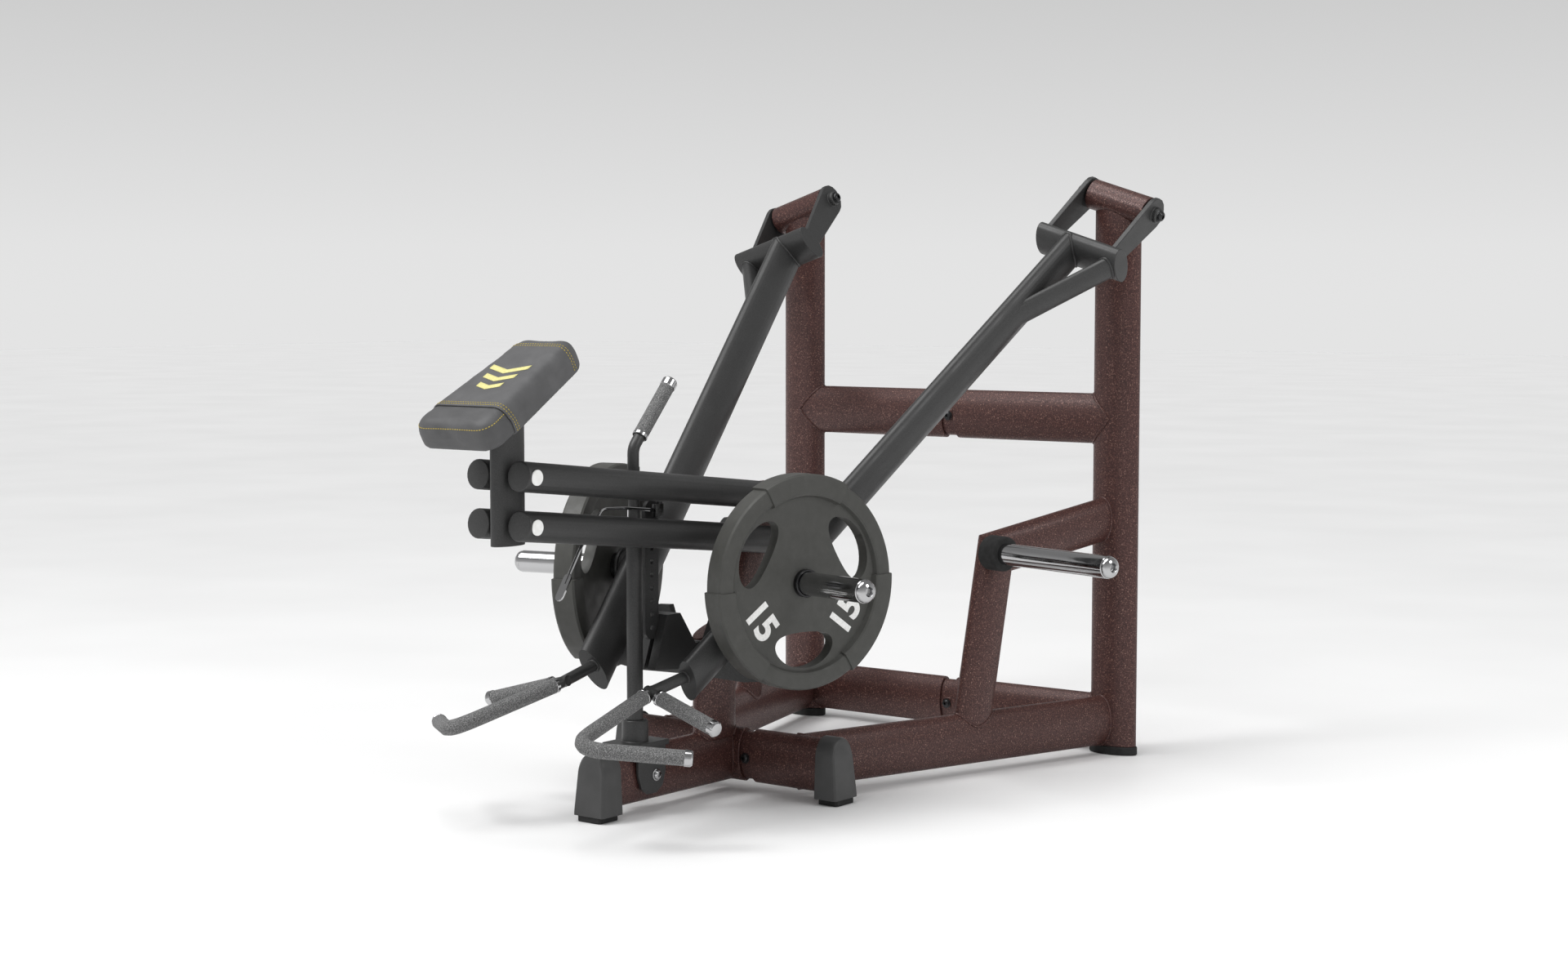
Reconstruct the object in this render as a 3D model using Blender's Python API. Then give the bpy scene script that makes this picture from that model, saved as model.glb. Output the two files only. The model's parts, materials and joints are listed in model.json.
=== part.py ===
"""Plate-loaded standing row machine with two converging lever arms.

Units are metres, Z is up, the machine is mirrored about x = 0 and the user stands at -Y.
Steel tubes are ovals; every sub-part is one closed body of its own.
"""
import bmesh
import bpy
import numpy as np
from mathutils import Matrix, Vector

# ---------------------------------------------------------------- driving dimensions
CLEAR = 0.0003            # gap left between welded neighbours
RUN = 0.0010              # gap left round anything that turns or slides
SHIFT_Y = 0.01954          # moves the machine so its box is centred on the origin

FRAME_LONG, FRAME_THIN = 0.060, 0.030      # half sizes of the 120 x 60 frame oval
ARM_LONG, ARM_THIN = 0.050, 0.025          # half sizes of the 100 x 50 arm oval
SEG_OVAL = 28
SEG_ROD = 20

UPRIGHT_X, UPRIGHT_Y = 0.464, 0.843
FOOT_H = 0.0195
BASE_Z = 0.080                             # centre height of every base tube
CROSS_UP_Z = 0.802
FRONT_Y = -0.045                           # front cross tube
FRONT_HALF = 0.262
BEAM_FRONT = -0.458
RAIL_FRONT_X = 0.187

HUB_Z, HUB_TILT = 1.314, np.radians(17.4)  # lever hinge height and outward droop
HUB_R, HUB_IN, HUB_OUT = 0.036, 0.072, 0.084
ARM_CROSS = (0.138, -0.118)                # lever cross tube, forward and up from the hinge
ARM_END = (1.187, -1.067)                  # lower end of the lever tube
LEVER_TOE = 0.028                          # how much further the lever's underside runs at its end
ARM_SIDE = -0.010                          # lever tube offset along the hinge
HORN_AT, HORN_ROLL = 0.968, np.radians(23.4)
HORN_R, HORN_LEN = 0.025, 0.309
PLATE_R, PLATE_T = 0.2325, 0.060

TUBE_R, TUBE_X = 0.0305, 0.0560            # the four link tubes
LINK_REAR_Y, LINK_REAR_Z = 0.090, 0.645
LINK_FRONT_Y, LINK_FRONT_Z = -0.757, 0.7382
CARRIER_Y = -0.752
LINK_DROP = 0.0985                         # upper pivot to lower pivot
AXLE_R = 0.012
HEAD_IN = 0.0225                           # where an axle head sits, out from the tube's axis

PAD_WIDE, PAD_NARROW = 0.224, 0.149         # width at the lower and the upper end
PAD_L, PAD_T = 0.345, 0.066
PAD_TILT = np.radians(29.4)
PAD_MID = (-0.7608, 0.9011)

STORE_LEG = ((0.330, 0.435, 0.140), (0.348, 0.495, 0.503))
STORE_TOP = (0.452, 0.843, 0.568)
STORE_HORN_AT = (0.367, 0.453, 0.509)
STORE_HORN_LEN = 0.400
STORE_LONG, STORE_THIN = 0.052, 0.0265     # half sizes of the bracket's oval

POST_Y, POST_R = -0.370, 0.0172
STRIP_Y = -0.3185
LEVER_PIVOT = (0.0, -0.445 + SHIFT_Y, 0.650)

HANDLE = {"cap": (0.130, -0.339, 0.303), "joint": (0.121, -0.461, 0.278),
          "straight": (0.316, -0.486, 0.225), "bend": (0.165, -0.757, 0.210),
          "back": (0.351, -0.603, 0.188)}
GRIP_R = 0.0165

# ---------------------------------------------------------------- materials
COLOURS = {
    "frame": ((0.100, 0.062, 0.056), 0.55, 0.35),
    "anthracite": ((0.045, 0.045, 0.046), 0.50, 0.35),
    "chrome": ((0.80, 0.80, 0.81), 0.12, 1.0),
    "plate_rubber": ((0.070, 0.070, 0.062), 0.70, 0.0),
    "grip": ((0.140, 0.140, 0.140), 0.80, 0.0),
    "pad_cover": ((0.160, 0.160, 0.160), 0.60, 0.0),
    "foot_cover": ((0.090, 0.090, 0.090), 0.50, 0.0),
    "rubber": ((0.012, 0.012, 0.012), 0.85, 0.0),
}


def material(name, kind):
    colour, rough, metal = COLOURS[kind]
    mat = bpy.data.materials.new(name)
    mat.use_nodes = True
    shader = mat.node_tree.nodes["Principled BSDF"]
    shader.inputs["Base Color"].default_value = (*colour, 1.0)
    shader.inputs["Roughness"].default_value = rough
    shader.inputs["Metallic"].default_value = metal
    mat.diffuse_color = (*colour, 1.0)
    return mat


# ---------------------------------------------------------------- small geometry helpers
def vec(p):
    return Vector([float(c) for c in p])


def frame_axes(along, hint):
    """Two unit vectors across `along`; the first lies closest to `hint`."""
    along = vec(along).normalized()
    first = vec(hint) - along * along.dot(vec(hint))
    first.normalize()
    return first, along.cross(first)


def make(name, verts, faces):
    mesh = bpy.data.meshes.new(name)
    mesh.from_pydata([tuple(v) for v in verts], [], faces)
    bm = bmesh.new()
    bm.from_mesh(mesh)
    bmesh.ops.recalc_face_normals(bm, faces=bm.faces)
    bm.to_mesh(mesh)
    bm.free()
    obj = bpy.data.objects.new(name, mesh)
    bpy.context.collection.objects.link(obj)
    return obj


def loft(name, rings):
    """Skin a list of equally long rings and close both ends."""
    count = len(rings[0])
    verts = [v for ring in rings for v in ring]
    faces = []
    for i in range(len(rings) - 1):
        for j in range(count):
            k = (j + 1) % count
            faces.append((i * count + j, i * count + k, (i + 1) * count + k, (i + 1) * count + j))
    faces.append(tuple(reversed(range(count))))
    faces.append(tuple(range((len(rings) - 1) * count, len(rings) * count)))
    return make(name, verts, faces)


def oval(centre, first, second, a, b, seg=SEG_OVAL):
    turn = [2 * np.pi * i / seg for i in range(seg)]
    return [vec(centre) + first * (a * np.cos(t)) + second * (b * np.sin(t)) for t in turn]


def bar(name, start, end, a, b, hint, seg=SEG_OVAL, dome=0.0):
    """Straight oval bar from start to end, half size a along `hint` and b across it."""
    start, end = vec(start), vec(end)
    first, second = frame_axes(end - start, hint)
    along = (end - start).normalized()
    rings = [oval(start, first, second, a, b, seg), oval(end, first, second, a, b, seg)]
    for step in ((0.40, 0.985), (0.80, 0.95), (1.0, 0.88)) if dome else ():
        rings.append(oval(end + along * dome * step[0], first, second, a * step[1], b * step[1], seg))
    return loft(name, rings)


def rod(name, start, end, radius, seg=SEG_ROD, dome=0.0):
    axis = vec(end) - vec(start)
    hint = (0, 0, 1) if abs(axis.normalized().z) < 0.9 else (0, 1, 0)
    return bar(name, start, end, radius, radius, hint, seg, dome)


def turned(name, start, axis, profile, seg=SEG_ROD, hint=(0, 0, 1)):
    """Solid of revolution: profile is (distance along axis, radius) pairs."""
    axis = vec(axis).normalized()
    first, second = frame_axes(axis, hint)
    return loft(name, [oval(vec(start) + axis * d, first, second, r, r, seg) for d, r in profile])


def ring_turned(name, start, axis, outline, seg=SEG_ROD, hint=(0, 0, 1)):
    """Revolve a closed (distance, radius) outline that stays clear of the axis."""
    axis = vec(axis).normalized()
    first, second = frame_axes(axis, hint)
    count = len(outline)
    verts = []
    for i in range(seg):
        t = 2 * np.pi * i / seg
        out = first * np.cos(t) + second * np.sin(t)
        verts += [vec(start) + axis * d + out * r for d, r in outline]
    faces = []
    for i in range(seg):
        n = (i + 1) % seg
        for j in range(count):
            k = (j + 1) % count
            faces.append((i * count + j, i * count + k, n * count + k, n * count + j))
    return make(name, verts, faces)


def sweep(name, points, radius, seg=16, hint=(0, 0, 1)):
    """Round bar along a smooth polyline."""
    pts = [vec(p) for p in points]
    rings = []
    for i, p in enumerate(pts):
        ahead = pts[min(i + 1, len(pts) - 1)] - pts[max(i - 1, 0)]
        first, second = frame_axes(ahead, hint)
        rings.append(oval(p, first, second, radius, radius, seg))
    return loft(name, rings)


def rounded(corner_points, radius, steps=6):
    """Replace the inner corners of a polyline by arcs of `radius`."""
    pts = [vec(p) for p in corner_points]
    out = [pts[0]]
    for a, b, c in zip(pts, pts[1:], pts[2:]):
        before, after = (a - b).normalized(), (c - b).normalized()
        half = before.angle(after) / 2
        cut = min(radius / np.tan(half), (a - b).length * 0.45, (c - b).length * 0.45)
        start, end = b + before * cut, b + after * cut
        for i in range(steps + 1):
            t = i / steps
            out.append(start * (1 - t) ** 2 + b * (2 * t * (1 - t)) + end * t ** 2)
    out.append(pts[-1])
    return out


def slab(name, outline, origin, x_axis, y_axis, z0, z1):
    """Flat plate: a 2-D outline pushed from z0 to z1 along the third axis."""
    x_axis, y_axis = vec(x_axis), vec(y_axis)
    z_axis = x_axis.cross(y_axis)
    rings = [[vec(origin) + x_axis * p + y_axis * q + z_axis * z for p, q in outline] for z in (z0, z1)]
    return loft(name, rings)


def box(name, low, high):
    outline = [(low[0], low[1]), (high[0], low[1]), (high[0], high[1]), (low[0], high[1])]
    return slab(name, outline, (0, 0, 0), (1, 0, 0), (0, 1, 0), low[2], high[2])


def bake(obj):
    graph = bpy.context.evaluated_depsgraph_get()
    mesh = bpy.data.meshes.new_from_object(obj.evaluated_get(graph))
    obj.modifiers.clear()
    obj.data = mesh


def combine(obj, other, operation):
    mod = obj.modifiers.new("join", "BOOLEAN")
    mod.operation, mod.solver, mod.object = operation, "EXACT", other
    bake(obj)
    bpy.data.objects.remove(other)
    return obj


def add(obj, *others):
    for other in others:
        combine(obj, other, "UNION")
    return obj


def cut(obj, *others):
    for other in others:
        combine(obj, other, "DIFFERENCE")
    return obj


def finish(obj, kind):
    """Tidy the mesh, give the piece its material and move it to the shared frame."""
    bm = bmesh.new()
    bm.from_mesh(obj.data)
    bmesh.ops.remove_doubles(bm, verts=bm.verts, dist=0.00002)
    bmesh.ops.dissolve_degenerate(bm, edges=bm.edges, dist=0.00001)
    bmesh.ops.triangulate(bm, faces=[f for f in bm.faces if len(f.verts) > 4])
    bmesh.ops.recalc_face_normals(bm, faces=bm.faces)
    bmesh.ops.translate(bm, verts=bm.verts, vec=(0, SHIFT_Y, 0))
    bm.to_mesh(obj.data)
    bm.free()
    obj.data.materials.clear()
    obj.data.materials.append(material(obj.name, kind))
    return obj


def mirrored(obj, name):
    """Left-hand twin of a finished right-hand piece."""
    twin = bpy.data.objects.new(name, obj.data.copy())
    bpy.context.collection.objects.link(twin)
    bm = bmesh.new()
    bm.from_mesh(twin.data)
    bmesh.ops.scale(bm, verts=bm.verts, vec=(-1, 1, 1))
    bmesh.ops.reverse_faces(bm, faces=bm.faces)
    bm.to_mesh(twin.data)
    bm.free()
    mat = obj.data.materials[0].copy()
    mat.name = name
    twin.data.materials.clear()
    twin.data.materials.append(mat)
    return twin


def both(obj, kind):
    """Finish NAME_right and add NAME_left."""
    finish(obj, kind)
    return obj, mirrored(obj, obj.name.replace("_right", "_left"))


def move_origin(obj, point):
    point = vec(point)
    obj.data.transform(Matrix.Translation(-point))
    obj.location = point


# ---------------------------------------------------------------- rear frame
HINGE = vec((UPRIGHT_X, UPRIGHT_Y, HUB_Z))
OUT = vec((np.cos(HUB_TILT), 0, -np.sin(HUB_TILT)))      # hinge axis, outward
FWD = vec((0, -1, 0))
RISE = vec((np.sin(HUB_TILT), 0, np.cos(HUB_TILT)))


def arm_point(side, forward, rise):
    return HINGE + OUT * side + FWD * forward + RISE * rise


def upright_shape(name, extra=0.0):
    return bar(name, (UPRIGHT_X, UPRIGHT_Y, FOOT_H + CLEAR), (UPRIGHT_X, UPRIGHT_Y, HUB_Z),
               FRAME_LONG + extra, FRAME_THIN + extra, (1, 0, 0))


def rear_frame():
    post = upright_shape("upright_right")
    cut(post, rod("c", HINGE - OUT * 0.2, HINGE + OUT * 0.2, HUB_R + CLEAR, 32))
    both(post, "frame")
    hub = ring_turned("hub_right", HINGE, OUT, [(-HUB_IN, 0.016), (HUB_OUT, 0.016),
                      (HUB_OUT, HUB_R), (-HUB_IN, HUB_R)], 32)
    both(hub, "frame")
    foot = bar("upright_foot_right", (UPRIGHT_X, UPRIGHT_Y, 0), (UPRIGHT_X, UPRIGHT_Y, FOOT_H),
               FRAME_LONG + 0.003, FRAME_THIN + 0.003, (1, 0, 0))
    both(foot, "rubber")
    for name, z in (("cross_upper", CROSS_UP_Z), ("cross_lower", BASE_Z)):
        half = split_tube(name, z)
        cut(half, upright_shape("c", CLEAR))
        finish(half, "frame")
        other = bar(name + "_left", (-0.018 - CLEAR, UPRIGHT_Y, z), (-UPRIGHT_X, UPRIGHT_Y, z),
                    FRAME_LONG, FRAME_THIN, (0, 0, 1))
        guard = upright_shape("c", CLEAR)
        guard.data.transform(Matrix.Scale(-1, 4, (1, 0, 0)))
        guard.data.flip_normals()
        finish(cut(other, guard), "frame")
        finish(bolt("joint_bolt_" + name[6:], (0, UPRIGHT_Y - 0.0255, z - 0.004), (0, -1, 0)), "chrome")


def split_tube(name, z):
    """Right half of a cross tube with the necked-down spigot of its bolted joint."""
    whole = bar(name + "_right", (0.018, UPRIGHT_Y, z), (UPRIGHT_X, UPRIGHT_Y, z),
                FRAME_LONG, FRAME_THIN, (0, 0, 1))
    neck = bar("n", (-0.018, UPRIGHT_Y, z), (0.03, UPRIGHT_Y, z), FRAME_LONG - 0.006, FRAME_THIN - 0.006,
               (0, 0, 1))
    flat = box("f", (-0.011, UPRIGHT_Y - 0.0250, z - 0.016), (0.011, UPRIGHT_Y - 0.010, z + 0.010))
    return add(whole, neck, flat)


def bolt(name, at, axis, radius=0.0095, height=0.008):
    return turned(name, at, axis, [(0, radius * 1.2), (0.0018, radius * 1.2), (0.0022, radius),
                                   (height * 0.8, radius), (height, radius * 0.8)], 12)


# ---------------------------------------------------------------- base frame
def base_frame():
    rail = bar("rail_right", (RAIL_FRONT_X, FRONT_Y, BASE_Z), (0.452, UPRIGHT_Y, BASE_Z),
               FRAME_LONG, FRAME_THIN, (0, 0, 1))
    cut(rail, upright_shape("c", CLEAR), front_shape("c", -0.4, 0.4, CLEAR),
        cross_shape("c", BASE_Z, CLEAR))
    both(rail, "frame")

    centre = front_shape("front_centre", -0.045, 0.045)
    beam = bar("b", (0, BEAM_FRONT, BASE_Z), (0, FRONT_Y, BASE_Z), FRAME_LONG, FRAME_THIN, (0, 0, 1))
    finish(add(centre, beam), "frame")

    arm = front_shape("front_cross_right", 0.075, FRONT_HALF)
    neck = bar("n", (0.045 + CLEAR, FRONT_Y, BASE_Z), (0.09, FRONT_Y, BASE_Z),
               FRAME_LONG - 0.006, FRAME_THIN - 0.006, (0, 0, 1))
    flat = box("f", (0.050, FRONT_Y - 0.0250, BASE_Z - 0.016), (0.071, FRONT_Y - 0.010, BASE_Z + 0.010))
    both(add(arm, neck, flat), "frame")
    both(bolt("joint_bolt_front_right", (0.0605, FRONT_Y - 0.0255, BASE_Z - 0.004), (0, -1, 0)), "chrome")

    both(foot_cover("front_foot_right", (FRONT_HALF + CLEAR, FRONT_Y), (1, 0), 0.057), "foot_cover")
    finish(foot_cover("nose_foot", (0, BEAM_FRONT - CLEAR), (0, -1), 0.064), "foot_cover")


def front_shape(name, x0, x1, extra=0.0):
    return bar(name, (x0, FRONT_Y, BASE_Z), (x1, FRONT_Y, BASE_Z), FRAME_LONG + extra,
               FRAME_THIN + extra, (0, 0, 1))


def cross_shape(name, z, extra=0.0):
    return bar(name, (-0.5, UPRIGHT_Y, z), (0.5, UPRIGHT_Y, z), FRAME_LONG + extra, FRAME_THIN + extra,
               (0, 0, 1))


def foot_cover(name, start, way, length):
    """Moulded end block: arched top, flat sides, a narrower pad on the floor and a bevelled end face."""
    along, side = vec((way[0], way[1], 0)), vec((-way[1], way[0], 0))
    half, shoulder, top = 0.040, 0.100, 0.1455
    arch = [(half * np.cos(t), shoulder + (top - shoulder) * np.sin(t)) for t in np.linspace(0, np.pi, 13)]
    outline = [(0.031, 0.0), (0.031, 0.012), (half, 0.012)] + arch + [(-half, 0.012), (-0.031, 0.012),
                                                                      (-0.031, 0.0)]
    rings = []
    for d, trim in ((0, 0.0), (length - 0.007, 0.0), (length - 0.002, 0.0025), (length, 0.0065)):
        ring = []
        for u, z in outline:
            high = z - trim * max(0.0, min(1.0, (z - 0.05) / 0.05))
            ring.append(vec((start[0], start[1], high)) + along * d + side * (u - np.sign(u) * min(trim, abs(u))))
        rings.append(ring)
    return loft(name, rings)


# ---------------------------------------------------------------- mast, stops, lock strip
def mast():
    body = bar("mast", (0, -0.104, 0.124), (0, -0.104, 0.375), 0.065, FRAME_THIN, (0, 1, 0))
    cut(body, slab("c", [(-0.30, 0.309), (0.10, 0.429), (0.10, 0.60), (-0.30, 0.60)], (0, 0, 0),
                   (0, 1, 0), (0, 0, 1), -0.1, 0.1))
    lean = bar("l", (0, -0.104, 0.205), (0, 0.0625, 0.592), 0.056, 0.0235, (0, 1, 0))
    head = slab("h", stadium(0.0, 0.0985, 0.034), (0, LINK_REAR_Y, LINK_REAR_Z - LINK_DROP),
                (0, 1, 0), (0, 0, 1), -0.020, 0.020)
    beam = bar("c", (0, BEAM_FRONT, BASE_Z), (0, 0.2, BASE_Z), FRAME_LONG + CLEAR, FRAME_THIN + CLEAR,
               (0, 0, 1))
    cut(add(body, lean, head), front_shape("c", -0.4, 0.4, CLEAR), beam)
    for z in (LINK_REAR_Z, LINK_REAR_Z - LINK_DROP):
        add(body, axle(LINK_REAR_Y, z))
    finish(body, "frame")


def stadium(z0, z1, radius, steps=8):
    top = [(radius * np.cos(t), z1 + radius * np.sin(t)) for t in np.linspace(0, np.pi, steps)]
    low = [(radius * np.cos(t), z0 + radius * np.sin(t)) for t in np.linspace(np.pi, 2 * np.pi, steps)]
    return top + low


def axle(y, z):
    """Through axle with a wide round head let into the outer side of each link tube."""
    out = TUBE_X + HEAD_IN
    shape = [(-out - 0.0085, 0.013), (-out - 0.0065, 0.0155), (-out, 0.0155), (-out, AXLE_R), (out, AXLE_R),
             (out, 0.0155), (out + 0.0065, 0.0155), (out + 0.0085, 0.013)]
    return turned("axle", (0, y, z), (1, 0, 0), shape, 20)


TUBE_DIR = vec((0, ARM_END[0] - ARM_CROSS[0], ARM_END[1] - ARM_CROSS[1])).normalized()
LEVER_T = FWD * TUBE_DIR.y + RISE * TUBE_DIR.z           # down the lever tube
LEVER_N = OUT.cross(LEVER_T) * -1.0                      # away from the floor, across the tube
if LEVER_N.z < 0:
    LEVER_N = LEVER_N * -1.0


def lever_shape(name, extra=0.0, start=0.0, end=0.0):
    a = arm_point(ARM_SIDE, *ARM_CROSS) - LEVER_T * start
    b = arm_point(ARM_SIDE, *ARM_END) + LEVER_T * end
    return bar(name, a, b, ARM_LONG + extra, ARM_THIN + extra, LEVER_N)


def stop_block(name, grow=0.0):
    """Rubber rest under the lever tube."""
    top = arm_point(ARM_SIDE, 1.040, ARM_CROSS[1] + (1.040 - ARM_CROSS[0]) * LEVER_SLOPE) \
        - LEVER_N * (ARM_LONG + RUN)
    half_u, half_t, deep = 0.020 + grow, 0.024 + grow, 0.018 + grow
    outline = [(-half_u, -half_t), (half_u, -half_t), (half_u, half_t), (-half_u, half_t)]
    way = OUT.cross(LEVER_T)
    flip = 1.0 if way.dot(LEVER_N) < 0 else -1.0
    return slab(name, outline, top, OUT * flip, LEVER_T, -grow, deep)


LEVER_SLOPE = (ARM_END[1] - ARM_CROSS[1]) / (ARM_END[0] - ARM_CROSS[0])


def stops():
    wing = [(0, 0.272), (0.150, 0.268), (0.210, 0.276), (0.210, 0.330), (0.178, 0.350), (0.118, 0.350),
            (0.096, 0.418), (0.060, 0.420), (0.032, 0.346), (0, 0.346)]
    outline = wing + [(-x, z) for x, z in reversed(wing[1:-1])]
    plate = slab("stop_bracket", outline, (0, -0.1705, 0), (1, 0, 0), (0, 0, 1), 0.0, 0.016)
    brace = slab("b", [(-0.190, 0.288), (-0.1710, 0.290), (-0.1710, 0.345), (-0.200, 0.345),
                       (-0.250, 0.415), (-0.2935, 0.415), (-0.335, 0.301)],
                 (0, 0, 0), (0, 1, 0), (0, 0, 1), -0.026, 0.026)
    add(plate, brace)
    for sign in (1, -1):
        guard = stop_block("c", CLEAR)
        if sign < 0:
            guard.data.transform(Matrix.Scale(-1, 4, (1, 0, 0)))
            guard.data.flip_normals()
        cut(plate, guard)
    cut(plate, bar("c", (0, -0.104, 0.2), (0, -0.104, 0.6), 0.065 + CLEAR, FRAME_THIN + CLEAR, (0, 1, 0)),
        box("c", (-0.0050 - CLEAR, STRIP_Y - 0.030, 0.20), (0.0050 + CLEAR, STRIP_Y + 0.0253, 0.60)))
    finish(plate, "anthracite")
    both(finish_name(stop_block("s"), "stop_rest_right"), "rubber")

    strip = slab("lock_strip", stadium(0.385, 0.640, 0.022), (0, STRIP_Y, 0), (0, 1, 0), (0, 0, 1),
                 -0.0045, 0.0045)
    for i in range(9):
        z = 0.388 + 0.0285 * i
        cut(strip, rod("c", (-0.05, STRIP_Y, z), (0.05, STRIP_Y, z), 0.0055, 12))
    finish(strip, "anthracite")


def finish_name(obj, name):
    obj.name = name
    return obj


# ---------------------------------------------------------------- link tubes, carrier, pad
def link_tubes():
    slope = vec((0, LINK_FRONT_Y - LINK_REAR_Y, LINK_FRONT_Z - LINK_REAR_Z)).normalized()
    for name, drop in (("link_upper_right", 0.0), ("link_lower_right", LINK_DROP)):
        front = vec((TUBE_X, LINK_FRONT_Y, LINK_FRONT_Z - drop))
        rear = vec((TUBE_X, LINK_REAR_Y, LINK_REAR_Z - drop))
        tube = rod(name, rear - slope * 0.034, front + slope * 0.0195, TUBE_R, 24, dome=0.0025)
        for end in (front, rear):
            cut(tube, rod("c", end - vec((0.1, 0, 0)), end + vec((0.1, 0, 0)), AXLE_R + RUN * 0.5, 20),
                rod("c", end + vec((HEAD_IN - RUN * 0.5, 0, 0)), end + vec((0.1, 0, 0)), 0.0155 + RUN * 0.5, 20))
        for obj, sign in zip(both(tube, "anthracite"), (1, -1)):
            move_origin(obj, (sign * TUBE_X, LINK_REAR_Y + SHIFT_Y, LINK_REAR_Z - drop))


def pad_axes():
    return vec((0, np.cos(PAD_TILT), np.sin(PAD_TILT))), vec((0, -np.sin(PAD_TILT), np.cos(PAD_TILT)))


def rounded_rect(half_x, half_y, radius, steps=5):
    pts = []
    for cx, cy, t0 in ((1, 1, 0), (-1, 1, 90), (-1, -1, 180), (1, -1, 270)):
        for t in np.radians(np.linspace(t0, t0 + 90, steps)):
            pts.append((cx * (half_x - radius) + radius * np.cos(t), cy * (half_y - radius) + radius * np.sin(t)))
    return pts


def taper(along):
    """Width of the pad at a place along it, as a share of its lower end's width."""
    return 1.0 + (PAD_NARROW / PAD_WIDE - 1.0) * (along / PAD_L + 0.5)


def carrier_and_pad():
    up_slope, normal = pad_axes()
    mid = vec((0, *PAD_MID))
    layers = ((-0.5, 0.88), (-0.38, 0.975), (-0.15, 1.0), (0.10, 1.0), (0.36, 0.965), (0.5, 0.84))
    rings = []
    for level, k in layers:
        shape = rounded_rect(PAD_WIDE / 2 - (1 - k) * 0.08, PAD_L / 2 - (1 - k) * 0.08, 0.034)
        shape = [(p * taper(q), q) for p, q in shape]
        rings.append([mid + vec((1, 0, 0)) * p + up_slope * q + normal * (PAD_T * level) for p, q in shape])
    pad = finish(loft("chest_pad", rings), "pad_cover")

    base = mid - normal * (PAD_T / 2 + CLEAR)
    board = slab("pad_board", rounded_rect(0.058, 0.085, 0.015), base, (1, 0, 0), up_slope, -0.008, 0.0)
    board = finish(board, "anthracite")

    post = bar("pad_carrier", (0, CARRIER_Y, 0.599), (0, CARRIER_Y, 0.90), 0.044, 0.0215, (0, 1, 0))
    cut(post, slab("c", [(-0.3, 0), (0.3, 0), (0.3, 0.3), (-0.3, 0.3)], base - normal * (0.008 + CLEAR),
                   up_slope, normal, -0.2, 0.2))
    for z in (LINK_FRONT_Z, LINK_FRONT_Z - LINK_DROP):
        add(post, axle(LINK_FRONT_Y, z))
    post = finish(post, "anthracite")
    for obj in (pad, board, post):
        move_origin(obj, (0, LINK_FRONT_Y + SHIFT_Y, LINK_FRONT_Z))


def lock_parts():
    """Spring plunger beside the perforated strip and the bent release lever in front of it."""
    z = link_height(STRIP_Y) - LINK_DROP / 2
    plunger = turned("lock_pin", (0.0052, STRIP_Y, z), (1, 0, 0), [(0, 0.0040), (0.0015, 0.0048),
                     (0.0060, 0.0048), (0.0060, 0.0085), (0.0215, 0.0085)], 16)
    bridge = box("b", (0.0180, STRIP_Y - 0.013, z - 0.014), (0.0265, STRIP_Y + 0.013, z + 0.014))
    finish(add(plunger, bridge), "chrome")
    path = rounded([(0.0215, -0.335, z + 0.002), (0.0215, -0.425, z + 0.012), (0, -0.470, z + 0.012),
                    (0, -0.540, 0.574), (0, -0.586, 0.506)], 0.02, 4)
    lever = sweep("release_lever", path, 0.0034, 10, (1, 0, 0))
    along = vec((0, 0.046, 0.068)).normalized()
    blade = slab("b", stadium(-0.022, 0.022, 0.010, 6), (0, -0.590, 0.500), (1, 0, 0), along,
                 -0.0020, 0.0020)
    lever = finish(add(lever, blade), "chrome")
    move_origin(lever, LEVER_PIVOT)


def link_height(y):
    """Height of the upper link centre line at y."""
    return LINK_REAR_Z + (LINK_FRONT_Z - LINK_REAR_Z) * (y - LINK_REAR_Y) / (LINK_FRONT_Y - LINK_REAR_Y)


# ---------------------------------------------------------------- stabilising post
def stabiliser():
    saddle = box("saddle", (-0.0425, POST_Y - 0.058, 0.1405), (0.0425, POST_Y + 0.062, 0.1520))
    for sign in (1, -1):
        outline = [(-0.044, 0.150), (-0.044, 0.085), (-0.034, 0.055), (-0.014, 0.041), (0.014, 0.041),
                   (0.034, 0.055), (0.044, 0.085), (0.044, 0.150)]
        add(saddle, slab("s", outline, (sign * 0.0355, POST_Y + 0.010, 0), (0, 1, 0), (0, 0, 1),
                         -0.004, 0.004))
    collar = ring_turned("c", (0, POST_Y, 0.1515), (0, 0, 1), [(0, POST_R + CLEAR), (0, 0.0285),
                         (0.040, 0.0280), (0.046, 0.0262), (0.046, POST_R + CLEAR)], 24, (1, 0, 0))
    finish(add(saddle, collar), "anthracite")
    both(bolt("saddle_bolt_right", (0.0398, POST_Y + 0.022, 0.080), (1, 0, 0)), "chrome")

    rings = [(0.1525, POST_R), (0.600, POST_R), (0.612, 0.0125), (0.735, 0.0125)]
    axis = vec((0, 0.105, 0.118)).normalized()
    base = vec((0, POST_Y - 0.002, 0.7350))
    bend = rounded([base, base + vec((0, 0, 0.040)), base + vec((0, 0, 0.040)) + axis * 0.030], 0.05, 5)
    post = loft("stabiliser_post",
                [oval((0, POST_Y, z), vec((1, 0, 0)), vec((0, 1, 0)), r, r, 20) for z, r in rings])
    top = sweep("t", [base - vec((0, -0.002, 0.01))] + bend[0:] , 0.0125, 20, (1, 0, 0))
    finish(add(post, top), "anthracite")
    start = bend[-1] + axis * CLEAR
    grip = turned("stabiliser_grip", start, axis, [(0, 0.0150), (0.006, 0.0165), (0.150, 0.0165),
                  (0.156, 0.0140)], 20, (1, 0, 0))
    finish(grip, "grip")


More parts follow.
